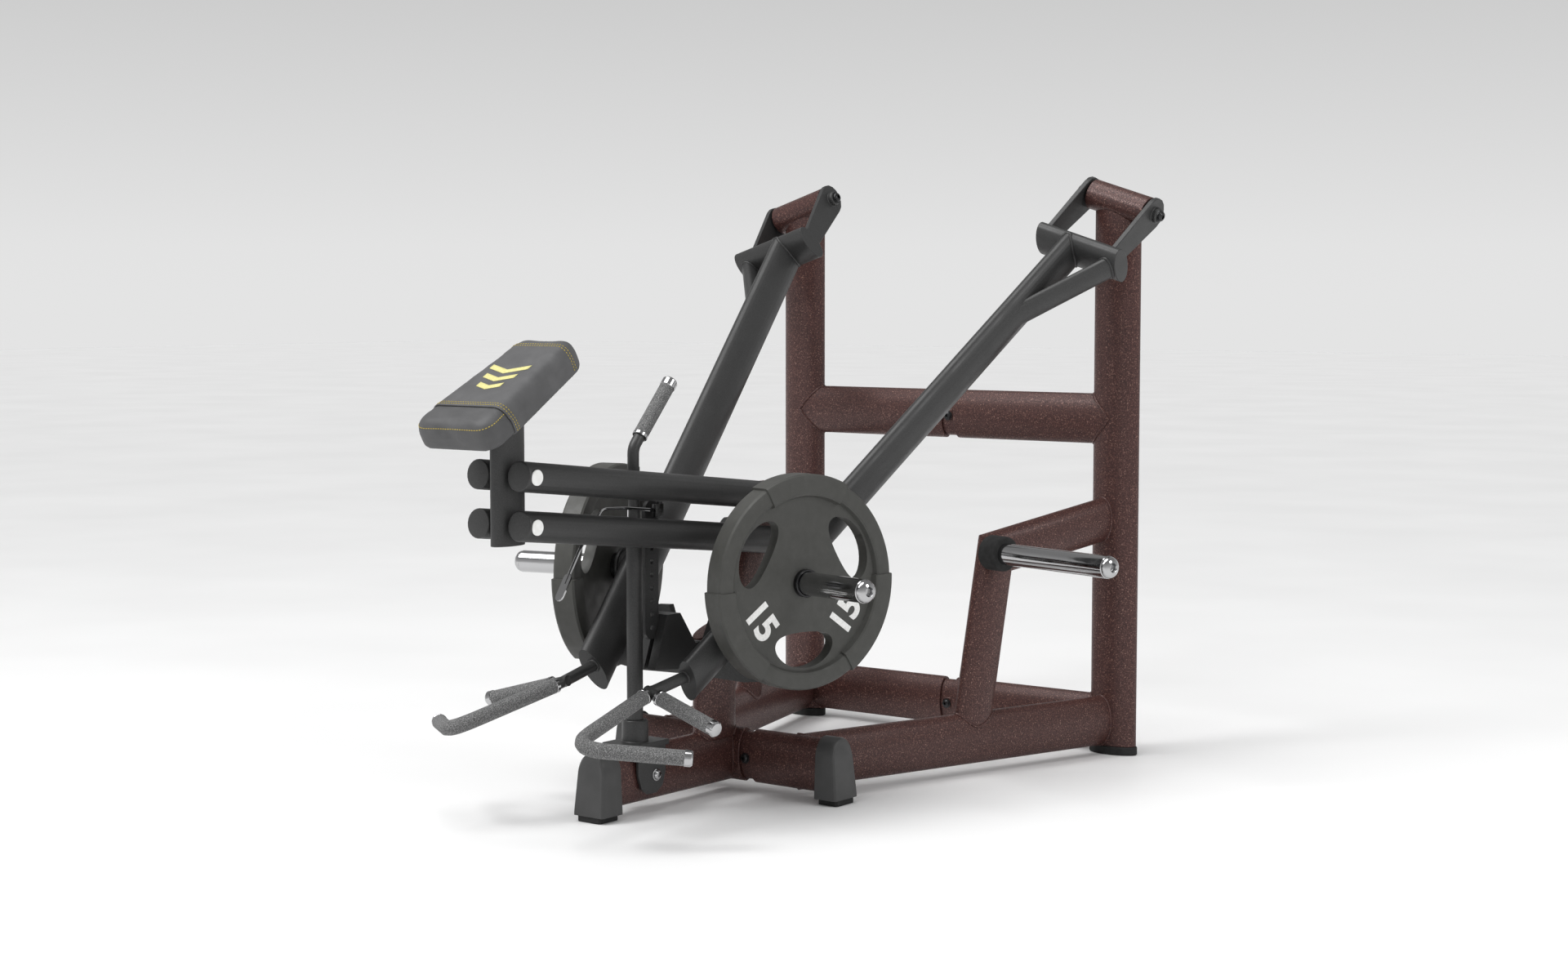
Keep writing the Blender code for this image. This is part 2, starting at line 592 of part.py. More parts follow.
# ---------------------------------------------------------------- plate storage
def storage():
    leg_low, knee = vec(STORE_LEG[0]), vec(STORE_LEG[1])
    top = vec(STORE_TOP)
    foot = leg_low - (knee - leg_low).normalized() * 0.035
    side = vec((0.888, -0.265, 0)).normalized()
    one = (knee - foot).normalized()
    two = (top - knee).normalized()
    rings = []
    for at, along, mitre in ((foot, one, None), (knee, one, two), (top, two, None)):
        if mitre is None:
            across = side.cross(along)
            rings.append(oval(at, across, side, STORE_LONG, STORE_THIN))
        else:
            plane = (along + mitre).normalized()
            across = side.cross(along)
            flat = [at + across * (STORE_LONG * np.cos(t)) + side * (STORE_THIN * np.sin(t))
                    for t in [2 * np.pi * i / SEG_OVAL for i in range(SEG_OVAL)]]
            rings.append([p - along * ((p - at).dot(plane) / along.dot(plane)) for p in flat])
    arm = loft("storage_bracket_right", rings)
    rail = bar("c", (RAIL_FRONT_X, FRONT_Y, BASE_Z), (0.452, UPRIGHT_Y, BASE_Z), FRAME_LONG + CLEAR,
               FRAME_THIN + CLEAR, (0, 0, 1))
    cut(arm, rail, upright_shape("c", CLEAR))
    base = vec(STORE_HORN_AT) - side * 0.012
    horn = turned("storage_horn_right", base, side, [(0, 0.0405), (0.055, 0.0405), (0.059, 0.0375),
                  (0.059, HORN_R), (STORE_HORN_LEN, HORN_R), (STORE_HORN_LEN + 0.006, 0.0225),
                  (STORE_HORN_LEN + 0.011, 0.014)], 28)
    block = copy_grown_bracket(rings)
    cut(horn, block)
    both(arm, "frame")
    both(horn, "chrome")


def copy_grown_bracket(rings):
    grown = []
    for ring in rings:
        mid = sum(ring, Vector()) / len(ring)
        grown.append([mid + (p - mid) * (1 + CLEAR / STORE_THIN) for p in ring])
    return loft("c", grown)


# ---------------------------------------------------------------- lever arms
def hull_outline(a, ra, b, rb, steps=9):
    """Outline round two circles and the straight flanks between them."""
    way = np.arctan2(b[1] - a[1], b[0] - a[0])
    gap = np.hypot(b[0] - a[0], b[1] - a[1])
    lean = np.arcsin((ra - rb) / gap)
    out = []
    for c, r, t0, t1 in ((a, ra, way + np.pi / 2 - lean, way + 1.5 * np.pi + lean),
                         (b, rb, way - np.pi / 2 + lean, way + np.pi / 2 - lean)):
        out += [(c[0] + r * np.cos(t), c[1] + r * np.sin(t)) for t in np.linspace(t0, t1, steps)]
    return out


def cross_tube_shape(name, extra=0.0):
    """Lever cross tube, its long side square to the lever tube."""
    a, b = arm_point(-0.094 - extra, *ARM_CROSS), arm_point(0.129 + extra, *ARM_CROSS)
    return bar(name, a, b, ARM_LONG - 0.002 + extra, ARM_THIN + extra, LEVER_N)


def beyond_toe(extra):
    """Everything past the slanting lower end of the lever tube, whose underside runs on further."""
    heel = arm_point(ARM_SIDE, *ARM_END) + LEVER_N * ARM_LONG + LEVER_T * extra
    slant = (LEVER_T * LEVER_TOE - LEVER_N * (2 * ARM_LONG)).normalized()
    away = OUT.cross(slant)
    if away.dot(LEVER_T) < 0:
        away = -away
    return slab("c", [(-0.3, -0.1), (0.3, -0.1), (0.3, 0.1), (-0.3, 0.1)], heel, slant, away.cross(slant),
                0.0, 0.3)


def lever_arms():
    fork = cross_tube_shape("fork_right")
    outline = hull_outline((0.0, 0.0), 0.0385, ARM_CROSS, 0.0245)
    for near, far in ((-0.090, -0.078), (0.090, 0.102)):
        plane = slab("p", outline, arm_point(0, 0, 0), FWD, RISE, 0, 0.012)
        flip = FWD.cross(RISE).dot(OUT)
        offset = near if flip > 0 else far
        plane.data.transform(Matrix.Translation(OUT * offset))
        add(fork, plane)
    pin = turned("p", HINGE - OUT * 0.104, OUT, [(0, 0.014), (0.004, 0.018), (0.0150, 0.018), (0.0150, 0.015),
                 (0.2050, 0.015), (0.2050, 0.018), (0.216, 0.018), (0.220, 0.014)], 24)
    add(fork, pin)
    both(fork, "anthracite")

    tube = lever_shape("lever_right", end=LEVER_TOE)
    lead = ARM_CROSS[0] + 0.190
    meet = arm_point(ARM_SIDE, lead, ARM_CROSS[1] + (lead - ARM_CROSS[0]) * LEVER_SLOPE)
    add(tube, bar("b", arm_point(0.1125, *ARM_CROSS), meet, 0.030, 0.0185, LEVER_N, 20))
    cut(tube, cross_tube_shape("c", CLEAR), beyond_toe(0.0))
    both(tube, "anthracite")

    at = arm_point(ARM_SIDE, HORN_AT, ARM_CROSS[1] + (HORN_AT - ARM_CROSS[0]) * LEVER_SLOPE)
    way = (OUT * np.cos(HORN_ROLL) + LEVER_N * np.sin(HORN_ROLL)).normalized()
    horn = turned("plate_horn_right", at, way, [(0.0, 0.036), (0.040, 0.036), (0.040, 0.042), (0.047, 0.042),
                  (0.047, HORN_R), (HORN_LEN - 0.010, HORN_R), (HORN_LEN - 0.004, 0.0225),
                  (HORN_LEN, 0.014)], 28)
    cut(horn, lever_shape("c", CLEAR, end=0.1))
    both(horn, "chrome")
    weight_plate(at, way)


def weight_plate(at, way):
    inner, outer = 0.048, 0.048 + PLATE_T
    profile = [(inner, HORN_R + RUN), (outer - 0.004, HORN_R + RUN), (outer - 0.004, 0.088),
               (outer - 0.014, 0.096), (outer - 0.014, 0.184), (outer, 0.194), (outer, PLATE_R - 0.006),
               (outer - 0.006, PLATE_R), (inner + 0.006, PLATE_R), (inner, PLATE_R - 0.006)]
    plate = ring_turned("weight_plate_right", (0, 0, 0), (0, 0, 1), profile, 48, (1, 0, 0))
    for k in range(3):
        cut(plate, slab("w", window_outline(60 + 120 * k), (0, 0, 0), (1, 0, 0), (0, 1, 0), inner - 0.02,
                        outer + 0.02))
    first, second = frame_axes(way, (0, 0, 1))
    place = Matrix((first, second, way)).transposed().to_4x4()
    place.translation = at
    plate.data.transform(place)
    both(plate, "plate_rubber")


def window_outline(middle):
    """Hand hole: an ellipse bent round the plate's centre, 103 to 177 mm out."""
    pts = []
    for t in np.linspace(0, 2 * np.pi, 20, endpoint=False):
        r, turn = 0.143 + 0.0385 * np.sin(t), np.radians(middle + 31 * np.cos(t))
        pts.append((r * np.cos(turn), r * np.sin(turn)))
    return pts


# ---------------------------------------------------------------- handles
def handles():
    cap, joint = vec(HANDLE["cap"]), vec(HANDLE["joint"])
    along = (joint - cap).normalized()
    shaft = rod("handle_right", cap - along * 0.03, joint, 0.0125, 16)
    straight = vec(HANDLE["straight"])
    bend, back = vec(HANDLE["bend"]), vec(HANDLE["back"])
    one, two = (straight - joint).normalized(), (bend - joint).normalized()
    add(shaft, rod("s", joint - one * 0.012, joint + one * 0.026, 0.0118, 16),
        rod("s", joint - two * 0.011, joint + two * 0.0195, 0.0122, 16))
    hollow = cut(lever_shape("c", CLEAR, end=LEVER_TOE + 0.01), beyond_toe(CLEAR))
    cut(shaft, hollow)
    both(shaft, "anthracite")
    start = joint + one * (0.026 + CLEAR)
    long = (straight - start).length
    grip = turned("grip_straight_right", start, one, [(0, 0.0135), (0.006, GRIP_R), (long - 0.004, GRIP_R),
                  (long, 0.0135)], 18)
    both(grip, "grip")
    path = rounded([joint + two * (0.0195 + CLEAR), bend, back], 0.045, 7)
    both(sweep("grip_bent_right", path, GRIP_R, 16), "grip")


def main():
    for obj in list(bpy.data.objects):
        bpy.data.objects.remove(obj)
    rear_frame()
    base_frame()
    mast()
    stops()
    link_tubes()
    carrier_and_pad()
    lock_parts()
    stabiliser()
    storage()
    lever_arms()
    handles()


main()
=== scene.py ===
# %% [markdown]
# # A plate-loaded row machine
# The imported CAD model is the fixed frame. Every piece made here lies in the CAD's own coordinates
# (metres, Z up, user at -Y) and rides on one of its bodies, so it moves when a joint moves.

# %% Load the frame
import json
import math
import bmesh
import bpy
import numpy as np
from mathutils import Matrix, Vector
from mathutils.bvhtree import BVHTree


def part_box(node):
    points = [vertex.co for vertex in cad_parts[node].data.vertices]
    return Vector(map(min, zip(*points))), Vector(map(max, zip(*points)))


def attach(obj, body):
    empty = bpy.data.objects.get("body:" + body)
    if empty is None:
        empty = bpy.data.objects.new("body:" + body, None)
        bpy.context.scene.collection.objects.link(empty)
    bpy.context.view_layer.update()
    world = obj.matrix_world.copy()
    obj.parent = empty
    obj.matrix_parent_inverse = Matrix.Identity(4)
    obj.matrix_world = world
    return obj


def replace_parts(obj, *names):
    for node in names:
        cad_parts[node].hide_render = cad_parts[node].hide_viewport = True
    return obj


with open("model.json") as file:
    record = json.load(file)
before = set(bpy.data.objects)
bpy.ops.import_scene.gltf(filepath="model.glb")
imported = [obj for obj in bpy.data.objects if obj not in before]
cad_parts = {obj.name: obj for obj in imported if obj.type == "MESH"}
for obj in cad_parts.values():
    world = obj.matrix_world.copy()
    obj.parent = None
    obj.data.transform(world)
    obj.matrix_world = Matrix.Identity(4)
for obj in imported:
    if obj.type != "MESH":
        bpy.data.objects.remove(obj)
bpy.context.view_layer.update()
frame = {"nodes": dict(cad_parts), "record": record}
record = frame["record"]["behaviour"]
BODY_OF = {n: body for body, names in record["bodies"].items() for n in names}
JOINT = {j["name"]: j for j in record["joints"]}

# %% [markdown]
# ## Reference lines
# Hinges, slides and node boxes give the places. The machine was drawn with its hinges 843 mm behind a
# zero line at the front tubes, and `at` turns such a place into one of the frame.

# %% Reference lines
HINGE = Vector(JOINT["arm_right_lift"]["pos_m"])
OUT = -Vector(JOINT["arm_right_lift"]["axis"])
HORN_WAY = Vector(JOINT["plate_right_slide"]["axis"]).normalized()
HINGE_BACK = 0.843                             # from the zero line to the hinges
BACK = HINGE.y - HINGE_BACK
SIDES = (("right", 1), ("left", -1))


def at(x, y, z):
    return Vector((x, y + BACK, z))


def mid(node):
    low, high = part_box(node)
    return (Vector(low) + Vector(high)) / 2


PLATE_MID = mid("weight_plate_right")
PLATE_OUT = 0.078                              # from the horn's foot to the plate's middle
HORN_FOOT = PLATE_MID - HORN_WAY * PLATE_OUT
print("hinge", HINGE, "plate", PLATE_MID)

# %% [markdown]
# ## Helpers for nodes and colours
# Colours are written as sRGB hex and turned to the linear values that Blender mixes. `add` puts one
# node in a tree, with its settings and with what feeds each socket.


# %% Nodes and colours
def linear(hexa):
    parts = [int(hexa[i:i + 2], 16) / 255 for i in (1, 3, 5)]
    return tuple(c / 12.92 if c <= 0.04045 else ((c + 0.055) / 1.055) ** 2.4 for c in parts) + (1.0,)


def add(tree, kind, feeds=None, **settings):
    made = tree.nodes.new(kind)
    for key, value in settings.items():
        setattr(made, key, value)
    for socket, value in (feeds or {}).items():
        if isinstance(value, bpy.types.NodeSocket):
            tree.links.new(value, made.inputs[socket])
        else:
            made.inputs[socket].default_value = value
    return made


def finish(name, colour, rough, metal=0.0, **sockets):
    """A material with its constant values on the shader's own sockets."""
    mat = bpy.data.materials.new(name)
    mat.use_nodes = True
    shader = mat.node_tree.nodes["Principled BSDF"]
    shader.inputs["Base Color"].default_value = linear(colour)
    shader.inputs["Roughness"].default_value = rough
    shader.inputs["Metallic"].default_value = metal
    for key, value in sockets.items():
        shader.inputs[key.replace("_", " ")].default_value = value
    mat.diffuse_color = linear(colour)
    return mat, mat.node_tree, shader


def noise(tree, size_mm, detail=2.0, rough=0.5):
    """Noise whose grains are about size_mm across, on the object's own coordinates."""
    coords = add(tree, "ShaderNodeTexCoord")
    return add(tree, "ShaderNodeTexNoise", {"Vector": coords.outputs["Object"], "Scale": 1000 / size_mm,
                                            "Detail": detail, "Roughness": rough}).outputs[0]


def ramp(tree, feed, stops):
    made = add(tree, "ShaderNodeValToRGB", {0: feed})
    band = made.color_ramp
    while len(band.elements) < len(stops):
        band.elements.new(0.5)
    for element, (where, colour) in zip(band.elements, stops):
        element.position = where
        element.color = linear(colour) if isinstance(colour, str) else (colour, colour, colour, 1)
    return made.outputs[0]


def tint(tree, shader, feed, stops, socket="Base Color"):
    """Turn a pattern into the shader's colour, or into another of its values."""
    tree.links.new(ramp(tree, feed, stops), shader.inputs[socket])


def bump(tree, shader, height, depth_mm, strength=1.0):
    made = add(tree, "ShaderNodeBump", {"Height": height, "Distance": depth_mm / 1000, "Strength": strength})
    tree.links.new(made.outputs[0], shader.inputs["Normal"])


# %% [markdown]
# ## Powder coat, wrinkled red-brown
# Steel tube sprayed with a wrinkle-texture polyester powder that carries copper-red metallic flakes.
# The wrinkle is about 1 mm across; here it is drawn 2.8 mm wide so that it shows at arm's length.
# One noise gives the colour and the bump: painted shade in the valleys, brown crests, and painted
# glints as small pale flecks on the highest crests.

# %% Wrinkle powder coat
COAT, tree, shader = finish("wrinkle_powder_coat_brown", "#452f2c", 0.42, 0.20)
grain = noise(tree, 2.8, 3.0, 0.6)
# colour: painted shade in the valleys, brown crests, painted glints as pale flecks at the top
tint(tree, shader, grain, [(0.34, "#321c1a"), (0.50, "#472b28"), (0.62, "#5e3e38"), (0.735, "#b59183")])
tint(tree, shader, grain, [(0.35, 0.52), (0.68, 0.30)], "Roughness")
bump(tree, shader, grain, 0.45, 0.30)
print(COAT.name)

# %% [markdown]
# ## Powder coat, fine anthracite
# The moving arms and links wear a smooth matte powder in near-black grey. Its orange peel is only
# 2 mm wide and very shallow, so the tubes keep a soft, even highlight. Its dips are a little darker: painted
# shade.

# %% Matte powder coat
ANTHRACITE, tree, shader = finish("matte_powder_coat_anthracite", "#363636", 0.42, 0.15)
peel = noise(tree, 2.0, 2.0)
# painted shade: the colour is darker in the peel's dips and lighter on its rises
tint(tree, shader, peel, [(0.30, "#2f2f2f"), (0.55, "#373737"), (0.80, "#3f3f3f")])
tint(tree, shader, noise(tree, 60, 3.0), [(0.3, 0.38), (0.7, 0.50)], "Roughness")
bump(tree, shader, peel, 0.12, 0.5)
print(ANTHRACITE.name)

# %% [markdown]
# ## Chrome, rubber and plastics
# Hard chrome is a mirror with faint wiping haze. Grip rubber is ground and mixed with pale crumbs, so
# it looks like granite. Plate rubber is a moulded olive-black with a satin skin. The foot covers are
# ABS, the axle caps polypropylene.

# %% Chrome and blackened steel
CHROME, tree, shader = finish("hard_chrome_plate", "#b4b4b5", 0.08, 1.0)
tint(tree, shader, noise(tree, 25, 4.0), [(0.35, 0.06), (0.75, 0.20)], "Roughness")
STEEL, tree, shader = finish("blackened_steel", "#3c3c3d", 0.34, 0.9)
tint(tree, shader, noise(tree, 4, 4.0), [(0.3, 0.26), (0.8, 0.46)], "Roughness")
print(CHROME.name, STEEL.name)

# %% Grip rubber: crumbs of 2 mm, drawn at their real size
GRIP, tree, shader = finish("crumb_rubber_grip", "#565656", 0.85)
coords = add(tree, "ShaderNodeTexCoord")
crumbs = add(tree, "ShaderNodeTexVoronoi", {"Vector": coords.outputs["Object"], "Scale": 1000 / 2.0})
speck = noise(tree, 2.2, 2.0, 0.6)
tint(tree, shader, speck, [(0.38, "#4c4c4c"), (0.52, "#666666"), (0.68, "#949494")])
bump(tree, shader, crumbs.outputs["Distance"], 0.6, 0.6)
print(GRIP.name)

# %% Plate rubber and its number paint
PLATE, tree, shader = finish("moulded_plate_rubber", "#434340", 0.52, 0.0, Specular_IOR_Level=0.45)
mottle = noise(tree, 18, 4.0, 0.6)
tint(tree, shader, mottle, [(0.30, "#3f3f3c"), (0.60, "#434340"), (0.80, "#484844")])
tint(tree, shader, noise(tree, 30, 3.0), [(0.3, 0.46), (0.7, 0.62)], "Roughness")
bump(tree, shader, noise(tree, 1.8, 2.0), 0.08, 0.5)
PAINT, tree, shader = finish("white_number_paint", "#f0f0ee", 0.55)
tint(tree, shader, noise(tree, 5, 3.0), [(0.3, "#e4e4e1"), (0.6, "#f4f4f2")])
print(PLATE.name, PAINT.name)

# %% Plastics and black rubber
COVER, tree, shader = finish("moulded_abs_grey", "#3c3c3c", 0.42)
tint(tree, shader, noise(tree, 40, 3.0), [(0.3, "#383838"), (0.7, "#404040")])
bump(tree, shader, noise(tree, 1.2, 2.0), 0.06, 0.6)
RUBBER, tree, shader = finish("black_buffer_rubber", "#171717", 0.80)
tint(tree, shader, noise(tree, 12, 3.0), [(0.3, "#121212"), (0.7, "#222222")])
bump(tree, shader, noise(tree, 1.5, 2.0), 0.1, 0.5)
WHITE, tree, shader = finish("white_polypropylene_cap", "#f6f6f4", 0.38)
tint(tree, shader, noise(tree, 10, 2.0), [(0.3, "#efefec"), (0.7, "#fbfbfa")])
print(COVER.name, RUBBER.name, WHITE.name)

# %% [markdown]
# ## Pad vinyl and thread
# Expanded PVC leathercloth: a fine pebble grain of about 1.2 mm, drawn at 1.6 mm. Slow waves where the
# foam moves under it are painted light and shade, as lighter and darker patches of the colour.
# The thread is an olive-yellow polyester, twisted every 1.5 mm.


# %% Vinyl
def vinyl(name, dark, middle, light):
    mat, tree, shader = finish(name, middle, 0.55, 0.0, Specular_IOR_Level=0.4)
    coords = add(tree, "ShaderNodeTexCoord")
    pebble = add(tree, "ShaderNodeTexVoronoi", {"Vector": coords.outputs["Object"], "Scale": 1000 / 1.6},
                 feature="SMOOTH_F1")
    slow = noise(tree, 55, 4.0, 0.6)
    # painted light and shade of the slow waves in the foam under the cover
    tint(tree, shader, slow, [(0.30, dark), (0.52, middle), (0.75, light)])
    tint(tree, shader, slow, [(0.3, 0.50), (0.7, 0.62)], "Roughness")
    bump(tree, shader, pebble.outputs["Distance"], 0.25, 0.6)
    return mat


VINYL = vinyl("pebbled_vinyl_grey", "#4e4e4f", "#565657", "#5f5f60")
VINYL_DARK = vinyl("pebbled_vinyl_dark_grey", "#464647", "#4e4e4f", "#575758")
THREAD, tree, shader = finish("olive_yellow_thread", "#b3a042", 0.75)
tint(tree, shader, noise(tree, 1.5, 1.0), [(0.3, "#93802e"), (0.7, "#c6b04c")])
CREAM, tree, shader = finish("cream_screen_print", "#d8d18a", 0.60)
tint(tree, shader, noise(tree, 4, 3.0), [(0.3, "#cfc77e"), (0.7, "#e0da98")])
print("materials", len(bpy.data.materials))

# %% [markdown]
# ## Mesh helpers
# `piece` makes an object from points and faces, with sharp edges kept above an angle, and `skin` makes
# the faces between outlines of equal length. `settle` puts a piece on a body and says which CAD nodes
# it stands for. `twin` mirrors a right-hand piece to the left.


# %% Mesh helpers
def polish(mesh, mat, angle=34):
    mesh.materials.clear()
    mesh.materials.append(mat)
    mesh.polygons.foreach_set("use_smooth", [True] * len(mesh.polygons))
    mesh.set_sharp_from_angle(angle=math.radians(angle))


def stand(name, data):
    """A new object in the scene for a mesh, a curve, a light or a camera."""
    obj = bpy.data.objects.new(name, data)
    bpy.context.scene.collection.objects.link(obj)
    return obj


def evaluated_mesh(obj):
    """A plain mesh of what the object's modifiers make."""
    return bpy.data.meshes.new_from_object(obj.evaluated_get(bpy.context.evaluated_depsgraph_get()))


def keep_evaluated(obj):
    mesh = evaluated_mesh(obj)
    obj.modifiers.clear()
    obj.data = mesh
    return mesh


def soften(obj, name, width, segments, angle):
    """A fine bevel on each edge that turns by more than the angle, in degrees."""
    mod = obj.modifiers.new(name, "BEVEL")
    mod.width, mod.segments = width, segments
    mod.limit_method, mod.angle_limit = "ANGLE", math.radians(angle)


def skin(n, rings, loop=False):
    """Faces between outlines of n points each: joined in a loop, or closed at both ends."""
    faces = []
    for k in range(rings if loop else rings - 1):
        a, b = k * n, (k + 1) % rings * n
        faces += [(a + i, a + (i + 1) % n, b + (i + 1) % n, b + i) for i in range(n)]
    return faces if loop else faces + [tuple(range(n)), tuple(range((rings - 1) * n, rings * n))]


def piece(name, verts, faces, mat, angle=34):
    mesh = bpy.data.meshes.new(name)
    mesh.from_pydata([tuple(v) for v in verts], [], faces)
    bm = bmesh.new()
    bm.from_mesh(mesh)
    bmesh.ops.remove_doubles(bm, verts=bm.verts, dist=1e-6)
    bmesh.ops.recalc_face_normals(bm, faces=bm.faces)
    bm.to_mesh(mesh)
    bm.free()
    polish(mesh, mat, angle)
    return stand(name, mesh)


def settle(obj, body, *nodes):
    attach(obj, body)
    if nodes:
        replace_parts(obj, *nodes)
    return obj


def twin(obj, name, body, *nodes):
    mesh = obj.data.copy()
    mesh.name = name
    mesh.transform(Matrix.Scale(-1, 4, (1, 0, 0)))
    mesh.flip_normals()
    other = stand(name, mesh)
    for bevel in obj.modifiers:
        soften(other, bevel.name, bevel.width, bevel.segments, math.degrees(bevel.angle_limit))
    return settle(other, body, *nodes)


def both(obj, right_body, nodes=()):
    """Settle NAME_right and its twin NAME_left on the matching bodies."""
    settle(obj, right_body, *nodes)
    name, body, *stood_for = [n.replace("_right", "_left") for n in (obj.name, right_body, *nodes)]
    twin(obj, name, body, *stood_for)


def across(axis, hint=(0, 0, 1)):
    axis = Vector(axis).normalized()
    first = Vector(hint) - axis * axis.dot(Vector(hint))
    first.normalize()
    return axis, first, axis.cross(first)


def turned(name, start, way, profile, mat, seg=48, hexed=(), hint=(0, 0, 1)):
    """Turned solid: (distance, radius) pairs; the rings listed in `hexed` become hexagons."""
    axis, first, second = across(way, hint)
    verts = []
    for k, (d, r) in enumerate(profile):
        for i in range(seg):
            t = 2 * math.pi * i / seg
            flat = math.cos(math.pi / 6) / math.cos((t % (math.pi / 3)) - math.pi / 6) if k in hexed else 1
            reach = max(r * flat, 1e-5)
            verts.append(Vector(start) + axis * d + (first * math.cos(t) + second * math.sin(t)) * reach)
    return piece(name, verts, skin(seg, len(profile)), mat)


# %% [markdown]
# ## Coated tubes
# The oval tubes, plates and brackets already have their shape. Each is copied from its CAD node, its
# loose triangles are merged, and a fine bevel softens the cut edges as powder paint does.


# %% Coated steel
def coated(node, mat, bevel=0.0012, angle=30):
    mesh = frame["nodes"][node].data.copy()
    mesh.name = node + "_coated"
    bm = bmesh.new()
    bm.from_mesh(mesh)
    bmesh.ops.remove_doubles(bm, verts=bm.verts, dist=2e-5)
    bmesh.ops.dissolve_limit(bm, angle_limit=math.radians(0.5), verts=bm.verts, edges=bm.edges)
    bm.to_mesh(mesh)
    bm.free()
    for name in [a.name for a in mesh.attributes if a.name == "custom_normal"]:
        mesh.attributes.remove(mesh.attributes[name])
    polish(mesh, mat, angle)
    obj = stand(node + "_coated", mesh)
    if bevel:
        soften(obj, "paint_edge", bevel, 2, 40)
    return settle(obj, BODY_OF[node], node)


def pairs(*names):
    return [n + "_" + side for n in names for side, _ in SIDES]


BROWN = pairs("upright", "hub", "cross_upper", "cross_lower", "rail", "front_cross", "storage_bracket")
BROWN += ["front_centre", "mast"]
GREY = pairs("fork", "lever", "link_upper", "link_lower", "handle")
GREY += ["pad_carrier", "pad_board", "stabiliser_post", "saddle", "stop_bracket", "lock_strip"]
THIN = ("lock_strip", "pad_board")
SHELL = {n: coated(n, COAT) for n in BROWN}
SHELL.update({n: coated(n, ANTHRACITE, 0.0008 if n in THIN else 0.0015) for n in GREY})
for n in pairs("upright_foot", "stop_rest"):
    coated(n, RUBBER, 0.0025)
for n in ("release_lever", "lock_pin"):
    coated(n, CHROME, 0.0)
print("coated pieces", len(SHELL) + 6)

# %% [markdown]
# ## Weld seams
# Where two tubes meet, the welder lays a fillet that the paint rounds off. The seam's path is read from
# the tube itself: its sharp edges that lie on the neighbour's surface. A Geometry Nodes tree then
# sweeps a small round bead along that path.


# %% The bead tree
def new_tree(name, numbers):
    tree = bpy.data.node_groups.new(name, "GeometryNodeTree")
    tree.interface.new_socket("Path", in_out="INPUT", socket_type="NodeSocketGeometry")
    for label, value in numbers.items():
        tree.interface.new_socket(label, in_out="INPUT", socket_type="NodeSocketFloat").default_value = value
    tree.interface.new_socket("Finish", in_out="INPUT", socket_type="NodeSocketMaterial")
    tree.interface.new_socket("Mesh", in_out="OUTPUT", socket_type="NodeSocketGeometry")
    return tree, add(tree, "NodeGroupInput").outputs


def close_tree(tree, given, shape):
    smooth = add(tree, "GeometryNodeSetShadeSmooth", {"Geometry": shape})
    real = add(tree, "GeometryNodeRealizeInstances", {"Geometry": smooth.outputs[0]})
    painted = add(tree, "GeometryNodeSetMaterial", {"Geometry": real.outputs[0], "Material": given["Finish"]})
    add(tree, "NodeGroupOutput", {"Mesh": painted.outputs[0]})
    return tree


def bead_tree():
    tree, given = new_tree("round_bead", {"Radius": 0.003, "Step": 0.004})
    line = add(tree, "GeometryNodeMeshToCurve", {"Mesh": given["Path"]})
    even = add(tree, "GeometryNodeResampleCurve", {"Curve": line.outputs[0], "Length": given["Step"]},
               mode="LENGTH")
    ring = add(tree, "GeometryNodeCurvePrimitiveCircle", {"Resolution": 10, "Radius": given["Radius"]})
    tube = add(tree, "GeometryNodeCurveToMesh", {"Curve": even.outputs[0], "Profile Curve": ring.outputs[0],
                                                 "Fill Caps": True})
    return close_tree(tree, given, tube.outputs[0])


def grow(name, tree, points, edges, mat, body, **numbers):
    """Run a tree on a path and keep only the plain mesh it makes."""
    path = bpy.data.meshes.new(name)
    path.from_pydata([tuple(p) for p in points], edges, [])
    host = stand(name, path)
    mod = host.modifiers.new("grow", "NODES")
    mod.node_group = tree
    for item in tree.interface.items_tree:
        if item.in_out == "INPUT" and item.name in numbers:
            mod[item.identifier] = float(numbers[item.name])
        if item.in_out == "INPUT" and item.name == "Finish":
            mod[item.identifier] = mat
    mesh = keep_evaluated(host)
    mesh.set_sharp_from_angle(angle=math.radians(40))
    if not mesh.materials:
        mesh.materials.append(mat)
    return settle(host, body)


BEAD = bead_tree()
print("tree", BEAD.name)


# %% Seams between neighbours
def shell_bmesh(node):
    bm = bmesh.new()
    bm.from_mesh(SHELL[node].data)
    return bm


TOUCH = 0.0014                                 # how near the neighbour a seam's points lie
CREASE = 0.42                                  # how far its faces turn at a seam, in radians
BEAD_R, BEAD_STEP = 0.0034, 0.005


def seam(node, neighbour):
    own, other = shell_bmesh(node), shell_bmesh(neighbour)
    tree = BVHTree.FromBMesh(other)
    near = {v.index for v in own.verts if (tree.find_nearest(v.co)[3] or 0) < TOUCH}
    edges = [e for e in own.edges if len(e.link_faces) == 2 and e.calc_face_angle(0) > CREASE
             and e.verts[0].index in near and e.verts[1].index in near]
    used = sorted({v.index for e in edges for v in e.verts})
    index = {v: i for i, v in enumerate(used)}
    own.verts.ensure_lookup_table()
    points = [own.verts[i].co.copy() for i in used]
    lines = [(index[e.verts[0].index], index[e.verts[1].index]) for e in edges]
    own.free()
    other.free()
    if len(lines) < 6:                         # too short to be a seam
        return None
    return grow("weld_" + node + "_to_" + neighbour, BEAD, points, lines, SHELL[node].data.materials[0],
                BODY_OF[node], Radius=BEAD_R, Step=BEAD_STEP)


